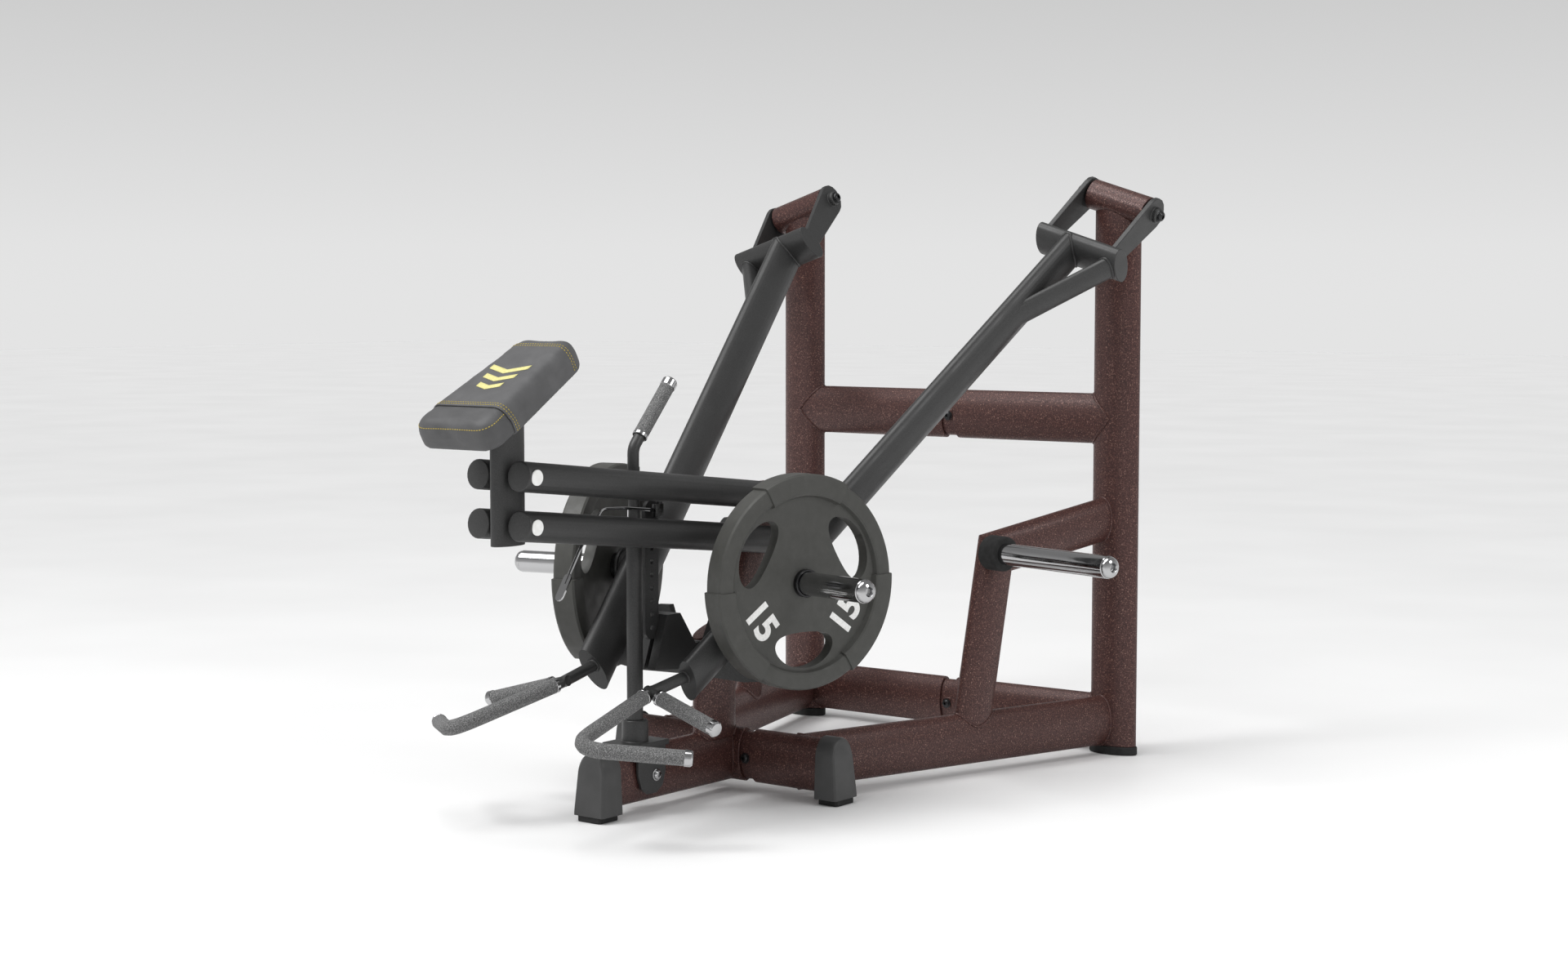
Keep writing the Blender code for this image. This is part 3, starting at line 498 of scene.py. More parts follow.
SEAMS = [("mast", "front_centre")]
MEET = (("rail", "upright"), ("cross_upper", "upright"), ("cross_lower", "upright"),
        ("storage_bracket", "rail"), ("storage_bracket", "upright"), ("lever", "fork"), ("handle", "lever"))
for side, _ in SIDES:
    SEAMS += [(a + "_" + side, b + "_" + side) for a, b in MEET]
    SEAMS += [("rail_" + side, "front_centre"), ("rail_" + side, "front_cross_" + side)]
welds = [w for w in (seam(a, b) for a, b in SEAMS) if w]
print("weld seams", len(welds), "of", len(SEAMS))

# %% [markdown]
# ## Loading horns
# A horn is a 50 mm chromed bar with a domed nut at its end, standing in a painted sleeve. Both are
# turned shapes, so each is one profile revolved round the horn's axis; the socket in the end is a hexagon.

# %% Horns on the arms and on the storage brackets
HORN_R = 0.0250
NUT_BACK = 0.014                               # the nut starts this far before the horn's end
NUT = [(0.0, HORN_R), (0.002, 0.0235), (0.006, 0.0235), (0.010, 0.0215), (0.0145, 0.0165), (0.0165, 0.0105),
       (0.012, 0.0085), (0.007, 0.0080)]


def horn_bar(name, foot, way, start, end):
    profile = [(start, 0.010), (start, HORN_R)] + [(end - NUT_BACK + d, r) for d, r in NUT]
    return turned(name, foot, way, profile, CHROME, 64, hexed=(8, 9))


sleeve = [(0.0245, 0.015), (0.0245, 0.0360), (0.0390, 0.0360), (0.0395, 0.0415), (0.0410, 0.0425),
          (0.0455, 0.0425), (0.0468, 0.0410), (0.0468, 0.015)]
both(turned("horn_sleeve_right", HORN_FOOT, HORN_WAY, sleeve, ANTHRACITE, 64), "arm_right")
both(horn_bar("horn_bar_right", HORN_FOOT, HORN_WAY, 0.030, 0.309), "arm_right", ["plate_horn_right"])

STORE_WAY = Vector((0.888, -0.265, 0)).normalized()
STORE_FOOT = at(0.367, 0.453, 0.509) - STORE_WAY * 0.012
sleeve = [(0.010, 0.015), (0.010, 0.0400), (0.052, 0.0400), (0.0560, 0.0395), (0.0585, 0.0370),
          (0.0590, 0.0340), (0.0590, 0.015)]
both(turned("storage_sleeve_right", STORE_FOOT, STORE_WAY, sleeve, RUBBER, 64), "frame")
both(horn_bar("storage_bar_right", STORE_FOOT, STORE_WAY, 0.040, 0.4100), "frame", ["storage_horn_right"])
print("horns from", [round(c, 3) for c in HORN_FOOT], "and", [round(c, 3) for c in STORE_FOOT])

# %% [markdown]
# ## Weight plates
# A rubber-cased plate, 465 mm across, with three hand holes. The casing is turned, but its rim goes up
# and down in six sectors, so the profile changes with the angle. The hand holes are cut through with a
# boolean and a bevel rounds every edge.

# %% The plate's casing
RIM_STEPS = [2, 62, 118, 182, 238, 302]
HIGH, LOW = (0.2325, 0.0300, 0.1860), (0.2280, 0.0270, 0.1905)     # rim radius, half height, inner radius
WEB = 0.0130                                   # half the thickness between bush and rim
UP, SIDE = across(HORN_WAY)[1:]
SIDE = -SIDE                                   # to the right for someone who looks at the plate


def face_point(deg, radius, depth):
    t = math.radians(deg)
    return PLATE_MID + HORN_WAY * depth + (SIDE * math.cos(t) + UP * math.sin(t)) * radius


def rim_is_high(deg):
    return 62 <= deg % 360 < 118 or 182 <= deg % 360 < 238 or 302 <= deg % 360 or deg % 360 < 2


def plate_casing():
    angles = sorted(set(range(0, 360, 2)) | {s + 0.35 for s in RIM_STEPS} | {s - 0.35 for s in RIM_STEPS})
    rings = []
    for deg in angles:
        rim, top, inner = HIGH if rim_is_high(deg) else LOW
        half = [(0.0272, 0.016), (0.0420, 0.016), (0.0530, 0.0135), (0.0950, WEB), (0.1600, WEB),
                (inner - 0.004, 0.0150), (inner, top - 0.003), (inner + 0.004, top - 0.0005),
                (0.2170, top), (rim - 0.004, top - 0.002), (rim - 0.0008, top - 0.0065)]
        ring = [face_point(deg, r, d) for r, d in half]
        ring += [face_point(deg, r, -d) for r, d in reversed(half)]
        rings.append(ring)
    faces = skin(len(rings[0]), len(rings), loop=True)
    return piece("plate_casing_right", [p for r in rings for p in r], faces, PLATE, 30)


def hand_hole(middle, spread=31, radius=0.143, half_wide=0.0385):
    """An ellipse bent round the plate's centre: `spread` degrees to either side of its middle."""
    turns = np.linspace(0, 2 * np.pi, 48, endpoint=False)
    loop = [(middle + spread * math.cos(t), radius + half_wide * math.sin(t)) for t in turns]
    verts = [face_point(a, r, d) for d in (-0.05, 0.05) for a, r in loop]
    return piece("cutter", verts, skin(len(loop), 2), PLATE)


def cut_with(obj, cutter):
    mod = obj.modifiers.new("hole", "BOOLEAN")
    mod.operation, mod.solver, mod.object = "DIFFERENCE", "EXACT", cutter
    keep_evaluated(obj)
    bpy.data.objects.remove(cutter)


casing = plate_casing()
for middle in (30, 150, 270):
    cut_with(casing, hand_hole(middle))
polish(casing.data, PLATE, 30)
soften(casing, "moulded_edge", 0.0018, 3, 38)
both(casing, "plate_right", ["weight_plate_right"])
print("plate", len(casing.data.polygons), "faces")


# %% [markdown]
# The steel bush in the plate's centre slides on the horn. The numbers are painted on the low web, to
# the lower left and lower right, and each reads along its own radius.

# %% Bush and numbers
bush = [(-0.0290, 0.0262), (-0.0290, 0.0300), (0.0265, 0.0300), (0.0275, 0.0290), (0.0275, 0.0262)]


def tube(name, start, way, outline, mat, seg=64):
    axis, first, second = across(way)
    verts = [Vector(start) + axis * d + (first * math.cos(t) + second * math.sin(t)) * r
             for t in np.linspace(0, 2 * np.pi, seg, endpoint=False) for d, r in outline]
    return piece(name, verts, skin(len(outline), seg, loop=True), mat)


both(tube("plate_bush_right", PLATE_MID, HORN_WAY, bush, STEEL), "plate_right")
FIGURE_R, FIGURE_HIGH, FIGURE_BOLD = 0.136, 0.084, 0.0027
PAINT_THICK = 0.0004


def number(name, text, deg, lean, mirror):
    """Painted number: text laid on the plate's web, its top turned to `lean` degrees."""
    curve = bpy.data.curves.new(name, "FONT")
    curve.body, curve.size, curve.offset, curve.extrude = text, FIGURE_HIGH, FIGURE_BOLD, PAINT_THICK
    curve.align_x = curve.align_y = "CENTER"
    outline = stand(name, curve)
    mesh = evaluated_mesh(outline)
    bpy.data.objects.remove(outline)
    t = math.radians(lean)
    high, wide = SIDE * math.cos(t) + UP * math.sin(t), SIDE * math.sin(t) - UP * math.cos(t)
    centre, out = face_point(deg, FIGURE_R, WEB + 0.0003), Vector(HORN_WAY)
    if mirror:
        high, wide, centre, out = [Vector((-v.x, v.y, v.z)) for v in (high, wide, centre, out)]
        wide = -wide
    place = Matrix((wide, high, out)).transposed().to_4x4()
    place.translation = centre
    mesh.transform(place)
    polish(mesh, PAINT, 30)
    return settle(stand(name, mesh), "plate_left" if mirror else "plate_right")


for side, sign in SIDES:
    number("number_low_left_" + side, "15", 213, 36, sign < 0)
    number("number_low_right_" + side, "15", 326, 144, sign < 0)
print("numbers", FIGURE_HIGH, "m high at", FIGURE_R)

# %% [markdown]
# ## Bolts
# The bolted joints use button-head screws with a washer. One head is modelled, and a Geometry Nodes
# tree puts a copy on every point of a small cloud, turned the way the screws face.


# %% Bolt heads by Geometry Nodes
def head_mesh(name, radius, high):
    washer = [(0.0, 0.001), (0.0, radius * 1.25), (0.0016, radius * 1.25), (0.0020, radius)]
    button = [(high * 0.55, radius), (high * 0.85, radius * 0.84), (high, radius * 0.62)]
    socket = [(high, radius * 0.46), (high * 0.45, radius * 0.44), (high * 0.45, 0.001)]
    profile = washer + button + socket
    return turned(name, (0, 0, 0), (0, 0, 1), profile, STEEL, 36, hexed=(7, 8), hint=(1, 0, 0))


def bolt_tree(head):
    tree, given = new_tree("bolt_heads", {"Size": 1.0, "Turn X": 0.0, "Turn Y": 0.0})
    source = add(tree, "GeometryNodeObjectInfo", {"Object": head})
    size = add(tree, "ShaderNodeCombineXYZ", {"X": given["Size"], "Y": given["Size"], "Z": given["Size"]})
    turn = add(tree, "ShaderNodeCombineXYZ", {"X": given["Turn X"], "Y": given["Turn Y"]})
    placed = add(tree, "GeometryNodeInstanceOnPoints",
                 {"Points": given["Path"], "Instance": source.outputs["Geometry"],
                  "Rotation": turn.outputs[0], "Scale": size.outputs[0]})
    return close_tree(tree, given, placed.outputs[0])


HEAD = head_mesh("bolt_head_pattern", 0.0095, 0.0075)
BOLTS = bolt_tree(HEAD)
HALF_HEAD = 0.0040                             # from a CAD bolt's middle to the face it sits on
PIN_OUTER, PIN_INNER = 0.1150, 0.1030          # from the hinge's middle to the fork plates' faces
LEAN = math.pi / 2 + math.atan2(-OUT.z, OUT.x)
joints = ["joint_bolt_front_right", "joint_bolt_front_left", "joint_bolt_upper", "joint_bolt_lower"]
points = [mid(n) + Vector((0, HALF_HEAD, 0)) for n in joints]
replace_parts(grow("joint_bolts", BOLTS, points, [], STEEL, "frame", **{"Turn X": math.pi / 2}), *joints)
for side, sign in SIDES:
    n = "saddle_bolt_" + side
    spot = mid(n) - Vector((sign * HALF_HEAD, 0, 0))
    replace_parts(grow("saddle_screw_" + side, BOLTS, [spot], [], CHROME, "frame", Size=1.1,
                     **{"Turn Y": sign * math.pi / 2}), n)
for side, sign in SIDES:
    hinge = Vector((sign * HINGE.x, HINGE.y, HINGE.z))
    out = Vector((sign * OUT.x, OUT.y, OUT.z))
    for tag, spot, turn in (("outer_", hinge + out * PIN_OUTER, LEAN),
                            ("inner_", hinge - out * PIN_INNER, LEAN - math.pi)):
        grow("hinge_screw_" + tag + side, BOLTS, [spot], [], STEEL, "arm_" + side, Size=1.25,
             **{"Turn Y": sign * turn})
bpy.data.objects.remove(HEAD)
print("bolts", len(joints), "in the frame, 2 in the saddle, 4 at the hinges")

# %% [markdown]
# ## Grips and handles
# Each grip is a rubber sleeve pulled over the bar: a straight one and a bent one on every arm, and one
# on the stabilising post. The sleeve follows a path with rounded corners. Chrome rings close both ends.


# %% Paths
def rounded(corners, radius, steps=10):
    out = [corners[0]]
    for a, b, c in zip(corners, corners[1:], corners[2:]):
        before, after = (a - b).normalized(), (c - b).normalized()
        cut = min(radius / math.tan(before.angle(after) / 2), (a - b).length * 0.45, (c - b).length * 0.45)
        start, end = b + before * cut, b + after * cut
        for i in range(steps + 1):
            t = i / steps
            out.append(start * (1 - t) ** 2 + b * (2 * t * (1 - t)) + end * t ** 2)
    return out + [corners[-1]]


def chain(points):
    return [(i, i + 1) for i in range(len(points) - 1)]


joint, straight = at(0.121, -0.461, 0.278), at(0.316, -0.486, 0.225)
bend, end = at(0.165, -0.757, 0.210), at(0.351, -0.603, 0.188)
one, two, last = (straight - joint).normalized(), (bend - joint).normalized(), (end - bend).normalized()
print("grips from", [round(c, 3) for c in joint])


# %% Sleeves and their chrome ends
SLEEVE_R, RING_R = 0.0163, 0.0168


def ring(name, start, way, length, radius, body, domed=False):
    profile = [(0, 0.004), (0, radius - 0.001), (0.001, radius), (length - 0.001, radius)]
    profile += [(length + 0.003, radius - 0.003), (length + 0.0045, 0.004)] if domed else \
        [(length, radius - 0.001), (length, 0.004)]
    return settle(turned(name, start, way, profile, CHROME, 40), body)


def grip(name, path, step, body, node):
    """A rubber sleeve along a path; it stands for the CAD's plain grip."""
    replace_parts(grow(name, BEAD, path, chain(path), GRIP, body, Radius=SLEEVE_R, Step=step), node)


def grips(side, sign):
    def flip(v):
        return Vector((sign * v.x, v.y, v.z))
    body = "arm_" + side
    path = [flip(p) for p in (joint + one * 0.036, straight - one * 0.014)]
    grip("grip_sleeve_straight_" + side, path, 0.012, body, "grip_straight_" + side)
    ring("grip_ring_straight_" + side, flip(joint + one * 0.0268), flip(one), 0.009, RING_R, body)
    ring("grip_cap_straight_" + side, flip(straight - one * 0.014), flip(one), 0.0125, RING_R, body, True)
    path = [flip(p) for p in rounded([joint + two * 0.029, bend, end - last * 0.016], 0.045, 14)]
    grip("grip_sleeve_bent_" + side, path, 0.008, body, "grip_bent_" + side)
    ring("grip_ring_bent_" + side, flip(joint + two * 0.0202), flip(two), 0.009, RING_R, body)
    ring("grip_cap_bent_" + side, flip(end - last * 0.016), flip(last), 0.0140, RING_R, body, True)


for side, sign in SIDES:
    grips(side, sign)
print("grips 4, rings and caps 8")

# %% The stabilising grip
lean = Vector((0, 0.105, 0.118)).normalized()
centre = mid("stabiliser_grip")
half, cap_back = 0.078, 0.020                  # half the grip's length, and where its cap begins
path = [centre - lean * (half - 0.008), centre + lean * (half - cap_back)]
grip("stabiliser_sleeve", path, 0.01, "frame", "stabiliser_grip")
ring("stabiliser_ring", centre - lean * half, lean, 0.008, RING_R, "frame")
ring("stabiliser_cap", centre + lean * (half - cap_back), lean, 0.0170, 0.0170, "frame", True)
print("stabilising grip", round(2 * half, 3), "m long")

# %% [markdown]
# ## Foot covers
# The front tubes end in moulded ABS blocks: an arched top, flat sides that widen a little to the floor,
# a clean ridge down each front corner and a rubber shoe below. Rings of one outline are skinned.


# %% Foot covers
FOOT_HALF, ARCH_HALF = 0.0415, 0.0375          # half widths at the floor and where the arch begins
SHOULDER, ARCH_HIGH = 0.100, 0.0455
SHOE_HALF, SHOE_IN = 0.0325, 0.0285


def foot_cover(name, start, along, side, length, node):
    turns = np.linspace(0, math.pi, 25)
    arch = [(ARCH_HALF * math.cos(t), SHOULDER + ARCH_HIGH * math.sin(t)) for t in turns]
    outline = [(FOOT_HALF, 0.0125), (FOOT_HALF, 0.020)] + arch + [(-FOOT_HALF, 0.020), (-FOOT_HALF, 0.0125)]
    steps = ((0.0, 0.0), (length - 0.010, 0.0), (length - 0.0035, 0.0012), (length, 0.0042))
    verts = []
    for d, trim in steps:
        for u, z in outline:
            tall = max(0.0, min(1.0, (z - 0.02) / 0.1))
            back = d - 0.010 * tall * d / length                   # the outer face leans back
            wide = u - math.copysign(min(trim, abs(u)), u)
            verts.append(start + Vector((0, 0, z - trim * 1.4 * tall)) + along * back + side * wide)
    cover = piece(name + "_cover", verts, skin(len(outline), len(steps)), COVER, 28)
    soften(settle(cover, "frame", node), "moulded_edge", 0.0014, 3, 30)


def foot_shoe(name, start, along, side, length):
    corners = [(0.006, SHOE_HALF), (length - 0.007, SHOE_HALF), (length - 0.003, SHOE_IN),
               (length - 0.003, -SHOE_IN), (length - 0.007, -SHOE_HALF), (0.006, -SHOE_HALF)]
    levels = ((0.0, 0.97), (0.0028, 1.0), (0.0135, 1.0))
    verts = [start + Vector((0, 0, z)) + along * d + side * u * wide
             for z, wide in levels for d, u in corners]
    settle(piece(name + "_shoe", verts, skin(len(corners), len(levels)), RUBBER, 30), "frame")


def foot(name, place, way, length, node):
    start, along, side = at(*place, 0), Vector((way[0], way[1], 0)), Vector((-way[1], way[0], 0))
    foot_cover(name, start, along, side, length, node)
    foot_shoe(name, start, along, side, length)


for side, sign in SIDES:
    foot("front_" + side, (sign * 0.2623, -0.045), (sign, 0), 0.057, "front_foot_" + side)
foot("nose", (0, -0.4583), (0, -1), 0.064, "nose_foot")
print("feet 3, half width", FOOT_HALF)

# %% [markdown]
# ## Link caps and knob
# White polypropylene caps hide the link axles. A small black steel knob pulls the locking pin.

# %% Caps
front, rear = Vector(JOINT["pad_level"]["pos_m"]), Vector(JOINT["pad_height"]["pos_m"])
drop = rear - Vector(JOINT["lower_links"]["pos_m"])
CAP_SEAT = 0.0846                              # from the middle to where a cap begins
cap = [(0.0, 0.004), (0.0, 0.0158), (0.0022, 0.0158), (0.0030, 0.0150), (0.0034, 0.0120), (0.0035, 0.002)]
for tag, spot, body in (("front", front, "pad_head"), ("rear", rear, "frame")):
    for level, down in (("upper", Vector()), ("lower", drop)):
        for side, sign in SIDES:
            start = spot - down + Vector((sign * CAP_SEAT, 0, 0))
            settle(turned("cap_%s_%s_%s" % (tag, level, side), start, (sign, 0, 0), cap, WHITE, 40), body)
pin_end = mid("lock_pin") + Vector((0.0105, 0, 0.0145))
knob = [(0.0, 0.003), (0.0, 0.0060), (0.003, 0.0068), (0.010, 0.0068), (0.0125, 0.0052), (0.0130, 0.002)]
settle(turned("lock_knob", pin_end, (0, 0, 1), knob, STEEL, 32, hint=(1, 0, 0)), "links_upper")
print("caps 8, knob at", [round(c, 3) for c in pin_end])

# %% [markdown]
# ## The chest pad
# Foam on a board, in a stitched cover, with a wrap-round sleeve whose lower end is open. The foam block
# is inflated a little with the cloth solver, so its faces crown and its edges pull in; how far a
# point may move is capped. The sleeve is a copy of that shape, cut off square and given its own thickness.

# %% The foam block
TILT = math.radians(29.4)
PAD_UP = Vector((0, math.cos(TILT), math.sin(TILT)))
PAD_OUT = Vector((0, -math.sin(TILT), math.cos(TILT)))
PAD_MID = at(0, -0.7608, 0.9011)
WIDE, NARROW, PAD_L, PAD_T = 0.224, 0.149, 0.345, 0.066            # low end, top end, length, thickness
CORNER = 0.036


def pad_outline(half_x, half_y, radius, steps=9):
    pts = []
    for cx, cy, start in ((1, 1, 0), (-1, 1, 90), (-1, -1, 180), (1, -1, 270)):
        middle_x, middle_y = cx * (half_x - radius), cy * (half_y - radius)
        for t in np.radians(np.linspace(start, start + 90, steps)):
            pts.append((middle_x + radius * math.cos(t), middle_y + radius * math.sin(t)))
    return pts


def foam_block(shrink):
    """Outlines from the back to the front, each with its share of the thickness and its inset."""
    levels = [(-0.5, 0.007), (-0.44, 0.002), (-0.30, 0.000), (0.05, 0.0), (0.30, 0.003), (0.42, 0.008),
              (0.5, 0.016)]
    verts = []
    for level, inset in levels:
        lift = PAD_OUT * ((PAD_T - 2 * shrink) * level)
        edge = shrink + inset
        for x, y in pad_outline(WIDE / 2 - edge, PAD_L / 2 - edge, CORNER - inset * 0.4):
            taper = 1 + (NARROW / WIDE - 1) * (y / PAD_L + 0.5)
            verts.append(PAD_MID + Vector((x * taper, 0, 0)) + PAD_UP * y + lift)
    return piece("pad_foam_cover", verts, skin(len(verts) // len(levels), len(levels)), VINYL_DARK)


def inflate(obj, cap):
    rest = np.array([v.co[:] for v in obj.data.vertices])
    mod = obj.modifiers.new("Cloth", "CLOTH")
    mod.settings.use_pressure = True
    mod.settings.uniform_pressure_force = 4.0
    mod.settings.effector_weights.gravity = 0.0
    mod.settings.quality = 5
    mod.point_cache.frame_start, mod.point_cache.frame_end = 1, 20
    for f in range(1, mod.point_cache.frame_end + 1):
        bpy.context.scene.frame_set(f)
    moved = obj.evaluated_get(bpy.context.evaluated_depsgraph_get()).to_mesh()
    step = np.array([v.co[:] for v in moved.vertices]) - rest
    long = np.linalg.norm(step, axis=1, keepdims=True)
    step *= np.minimum(1.0, cap / np.maximum(long, 1e-9))
    depth = (rest - np.array(PAD_MID)) @ np.array(PAD_OUT)
    step *= np.clip((depth + PAD_T / 2 - 0.004) / 0.012, 0, 1)[:, None]      # the back stays flat
    obj.modifiers.clear()
    obj.data.vertices.foreach_set("co", (rest + step).ravel())
    bpy.context.scene.frame_set(1)
    print("pad swelled", round(float(np.linalg.norm(step, axis=1).max()) * 1000, 1), "mm")


core = foam_block(0.0034)
mod = core.modifiers.new("remesh", "REMESH")
mod.mode, mod.voxel_size = "VOXEL", 0.0045
keep_evaluated(core)
inflate(core, 0.0022)
mod = core.modifiers.new("ease", "SMOOTH")
mod.factor, mod.iterations = 0.5, 3
keep_evaluated(core)
polish(core.data, VINYL_DARK, 60)
print("foam", len(core.data.polygons), "faces")

# %% The sleeve: a copy that stands 3.4 mm proud and stops at the hem
HEM, REAR = -0.098, 0.128                      # the hem and the rear seam, along the pad from its middle
HEM_WAY = PAD_UP + PAD_OUT * 0.12              # square to the hem's cut, which leans a little


def offset_copy(obj, name, lift, mat):
    mesh = obj.data.copy()
    bm = bmesh.new()
    bm.from_mesh(mesh)
    bm.normal_update()
    for v, normal in [(v, v.normal.copy()) for v in bm.verts]:
        v.co += normal * lift
    bm.to_mesh(mesh)
    bm.free()
    polish(mesh, mat, 60)
    return stand(name, mesh)


def cut_by_plane(bm, where, normal, **kept):
    whole = bm.verts[:] + bm.edges[:] + bm.faces[:]
    return bmesh.ops.bisect_plane(bm, geom=whole, plane_co=where, plane_no=normal, **kept)["geom_cut"]


def trim(obj, where, away):
    bm = bmesh.new()
    bm.from_mesh(obj.data)
    cut_by_plane(bm, where, away, clear_outer=True)
    bm.to_mesh(obj.data)
    bm.free()


def loop_at(obj, where, normal):
    """Points and edges where a plane cuts the piece."""
    bm = bmesh.new()
    bm.from_mesh(obj.data)
    made = cut_by_plane(bm, where, normal)
    index = {v: i for i, v in enumerate(g for g in made if isinstance(g, bmesh.types.BMVert))}
    points = [v.co.copy() for v in index]
    edges = [g for g in made if isinstance(g, bmesh.types.BMEdge)]
    lines = [tuple(index[v] for v in e.verts) for e in edges if all(v in index for v in e.verts)]
    bm.free()
    return points, lines


sleeve = offset_copy(core, "pad_sleeve", 0.0034, VINYL)
trim(sleeve, PAD_MID + PAD_UP * HEM, -HEM_WAY)
mod = sleeve.modifiers.new("cloth_thickness", "SOLIDIFY")
mod.thickness, mod.offset = 0.0029, -1.0
for obj in (core, sleeve):
    mod = obj.modifiers.new("smooth", "SUBSURF")
    mod.levels = mod.render_levels = 1
settle(core, "pad_head", "chest_pad")
settle(sleeve, "pad_head")
print("pad faces", len(core.data.polygons), len(sleeve.data.polygons))


# %% [markdown]
# ## Stitches
# The thread shows as short raised dashes, 4.6 mm long with 1.9 mm between them. They follow the lines
# where a plane cuts the cover. A Geometry Nodes tree puts one long bead at every step, along the path.

# %% The stitch tree
def stitch_tree():
    tree, given = new_tree("running_stitch", {"Pitch": 0.0065, "Length": 0.0046, "Thickness": 0.0019})
    line = add(tree, "GeometryNodeMeshToCurve", {"Mesh": given["Path"]})
    even = add(tree, "GeometryNodeResampleCurve", {"Curve": line.outputs[0], "Length": given["Pitch"]},
               mode="LENGTH")
    dash = add(tree, "GeometryNodeMeshIcoSphere", {"Radius": 0.5, "Subdivisions": 2})
    thick = given["Thickness"]
    shape = add(tree, "ShaderNodeCombineXYZ", {"X": given["Length"], "Y": thick, "Z": thick})
    sized = add(tree, "GeometryNodeTransform", {"Geometry": dash.outputs[0], "Scale": shape.outputs[0]})
    way = add(tree, "GeometryNodeInputTangent")
    turn = add(tree, "FunctionNodeAlignRotationToVector", {"Vector": way.outputs[0]}, axis="X")
    placed = add(tree, "GeometryNodeInstanceOnPoints",
                 {"Points": even.outputs[0], "Instance": sized.outputs[0], "Rotation": turn.outputs[0]})
    return close_tree(tree, given, placed.outputs[0])


STITCH = stitch_tree()
print("tree", STITCH.name)


def stitches(name, obj, where, normal, keep):
    """A seam where a plane cuts the cover, on the points that `keep` lets through."""
    points, lines = loop_at(obj, where, normal)
    lines = [(a, b) for a, b in lines if keep(points[a]) and keep(points[b])]
    used = sorted({i for pair in lines for i in pair})
    index = {v: i for i, v in enumerate(used)}
    path = [points[i] for i in used]
    return grow(name, STITCH, path, [(index[a], index[b]) for a, b in lines], THREAD, "pad_head")


def above(level):
    return lambda p: (p - PAD_MID).dot(PAD_OUT) > level


def past_the_hem(p):
    return (p - PAD_MID).dot(PAD_UP) < HEM - 0.004


ROW = 0.007                                    # between the two rows of a seam
for name, d in (("stitch_hem", HEM + 0.006), ("stitch_hem_two", HEM + 0.006 + ROW)):
    stitches(name, sleeve, PAD_MID + PAD_UP * d, HEM_WAY, above(-0.026))
for name, d in (("stitch_top_one", REAR), ("stitch_top_two", REAR + ROW)):
    stitches(name, sleeve, PAD_MID + PAD_UP * d, PAD_UP, above(-0.020))
stitches("stitch_end", core, PAD_MID + PAD_OUT * 0.0185, PAD_OUT, past_the_hem)
print("seams 5")

# %% [markdown]
# ## The printed mark
# A plain pattern of three slanted bars stands on the sleeve in cream print. Each bar is a small grid
# dropped on to the cover, 0.5 mm proud.


# %% Printed bars
BARS, ACROSS, ALONG = 3, 13, 5                 # bars, and grid points across and along each one
BAR_WIDE, BAR_LESS, BAR_HIGH, BAR_GAP, BAR_SLANT = 0.104, 0.020, 0.015, 0.030, 0.35
TOP_BAR, PROUD = 0.026, 0.0005


def bars():
    bm = bmesh.new()
    bm.from_mesh(sleeve.data)
    tree = BVHTree.FromBMesh(bm)
    verts, faces = [], []
    for k in range(BARS):
        base = len(verts)
        for i in range(ACROSS):
            u = (i / (ACROSS - 1) - 0.5) * (BAR_WIDE - BAR_LESS * k)
            for j in range(ALONG):
                v = TOP_BAR - BAR_GAP * k + (j / (ALONG - 1) - 0.5) * BAR_HIGH + abs(u) * BAR_SLANT
                start = PAD_MID + Vector((u, 0, 0)) + PAD_UP * v + PAD_OUT * PAD_T
                verts.append(tree.ray_cast(start, -PAD_OUT)[0] + PAD_OUT * PROUD)
        corners = [base + i * ALONG + j for i in range(ACROSS - 1) for j in range(ALONG - 1)]
        faces += [(c, c + ALONG, c + ALONG + 1, c + 1) for c in corners]
    bm.free()
    return piece("print_bars", verts, faces, CREAM)


print_bars = bars()
mod = print_bars.modifiers.new("ink", "SOLIDIFY")
mod.thickness, mod.offset = 0.0005, 0.0
settle(print_bars, "pad_head")
print("bars", BARS)

# %% [markdown]
# ## Room, light and camera
# A pale floor that runs out to the sky's own grey, so no horizon shows. The sky darkens upwards, which
# keeps the upper sides of the tubes calm. A broad overhead sun gives the soft shadow, one round light in
# front lights the pad and the plates, and one on the right draws the edges. The camera stands in front
# and to the right, a little above the pad.

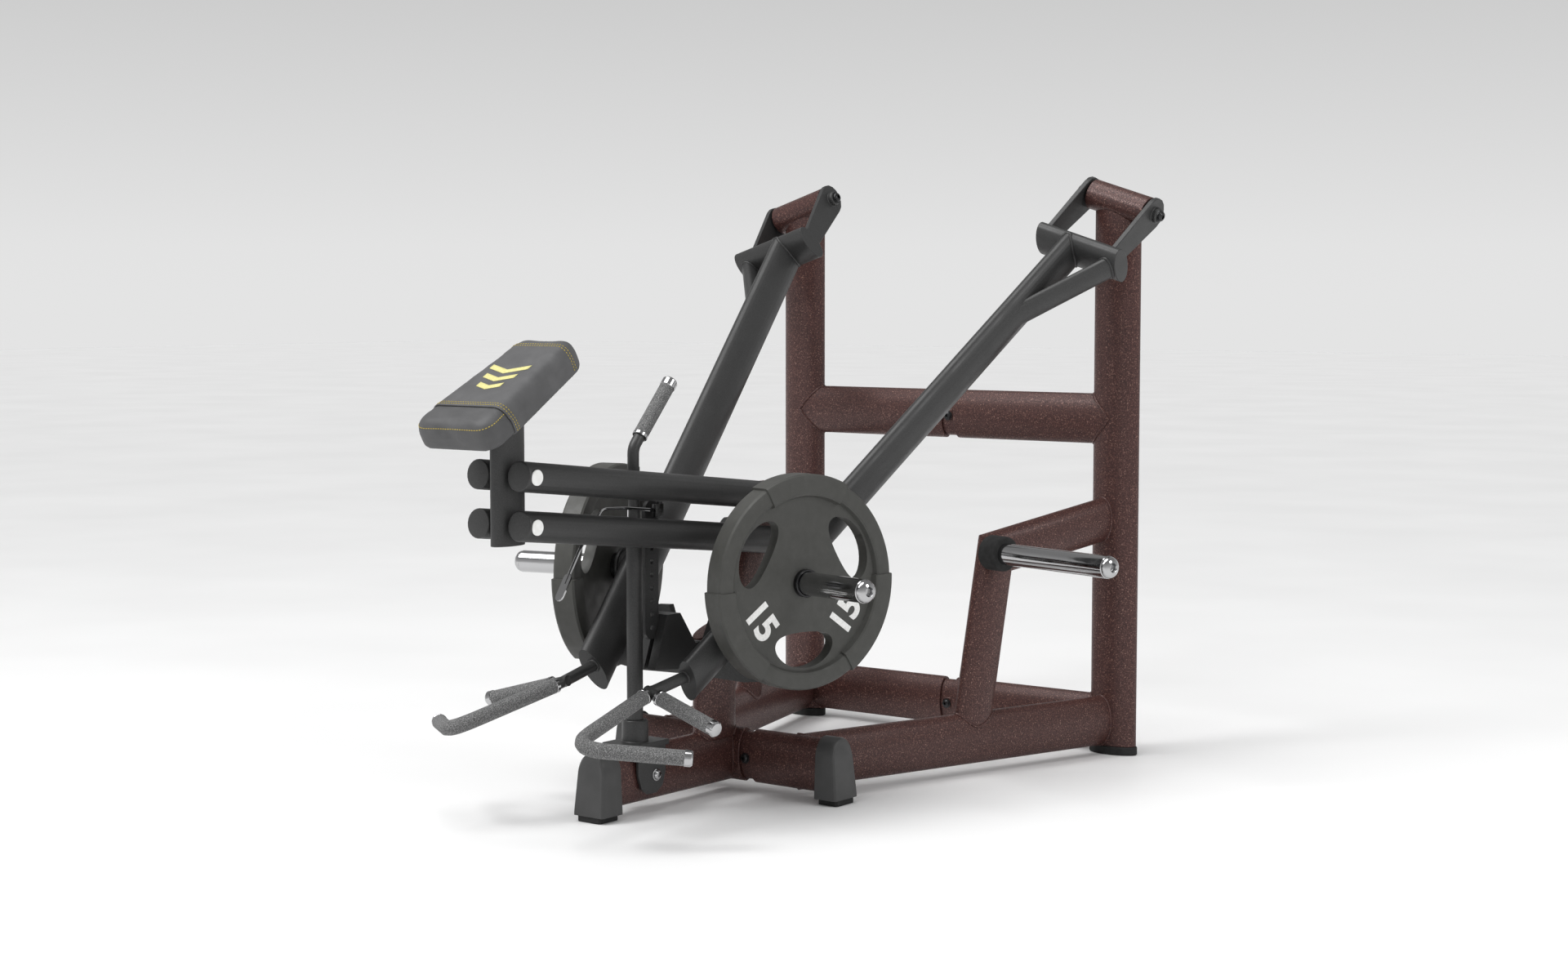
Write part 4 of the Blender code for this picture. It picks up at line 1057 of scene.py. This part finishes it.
# %% Floor
FLOOR, tree, shader = finish("pale_floor", "#f2f2f2", 0.55)
tint(tree, shader, noise(tree, 900, 2.0), [(0.3, "#f0f0f0"), (0.7, "#f5f5f5")])
FAR, BELOW = 40, -0.0005
corners = [(x * FAR, y * FAR, BELOW) for x, y in ((-1, -1), (1, -1), (1, 1), (-1, 1))]
floor = piece("floor", corners, [(0, 1, 2, 3)], FLOOR)
if floor.data.polygons[0].normal.z < 0:
    floor.data.flip_normals()
print("floor", 2 * FAR, "m wide")

# %% Lights
world = bpy.data.worlds.new("studio")
bpy.context.scene.world = world
world.use_nodes = True
sky = world.node_tree
coords = add(sky, "ShaderNodeTexCoord")
height = add(sky, "ShaderNodeSeparateXYZ", {0: coords.outputs["Generated"]})
shade = ramp(sky, height.outputs["Z"],
             [(0.0, "#e4e4e4"), (0.02, "#e3e3e3"), (0.12, "#cccccc"), (0.60, "#9a9a9a")])
sky.links.new(shade, sky.nodes["Background"].inputs[0])
sky.nodes["Background"].inputs[1].default_value = 1.0


def aim(obj, way):
    obj.rotation_euler = Vector(way).to_track_quat("-Z", "Y").to_euler()


def soft_light(name, place, target, size, power):
    data = bpy.data.lights.new(name, "AREA")
    data.shape, data.size, data.energy = "DISK", size, power
    lamp = stand(name, data)
    lamp.location = place
    aim(lamp, Vector(target) - Vector(place))


soft_light("key", (-1.6, -3.2, 4.4), (0, 0, 0.6), 1.8, 110)
soft_light("rim", (3.8, 0.6, 3.0), (0, 0, 0.7), 1.6, 40)
sun = bpy.data.lights.new("overhead", "SUN")
sun.energy, sun.angle = 1.85, math.radians(45)
aim(stand("overhead", sun), (0.15, 0.25, -1))
print("lights", len(bpy.data.lights))

# %% Camera
lens = bpy.data.cameras.new("camera")
lens.lens, lens.sensor_width, lens.clip_end = 56.8, 36.0, 200.0
camera = stand("camera", lens)
camera.location = at(3.42, -4.30, 1.0944)
aim(camera, (-0.6076, 0.7904, -0.0783))
bpy.context.scene.camera = camera
bpy.context.scene.view_settings.view_transform = "Standard"
print("camera", [round(c, 2) for c in camera.location])
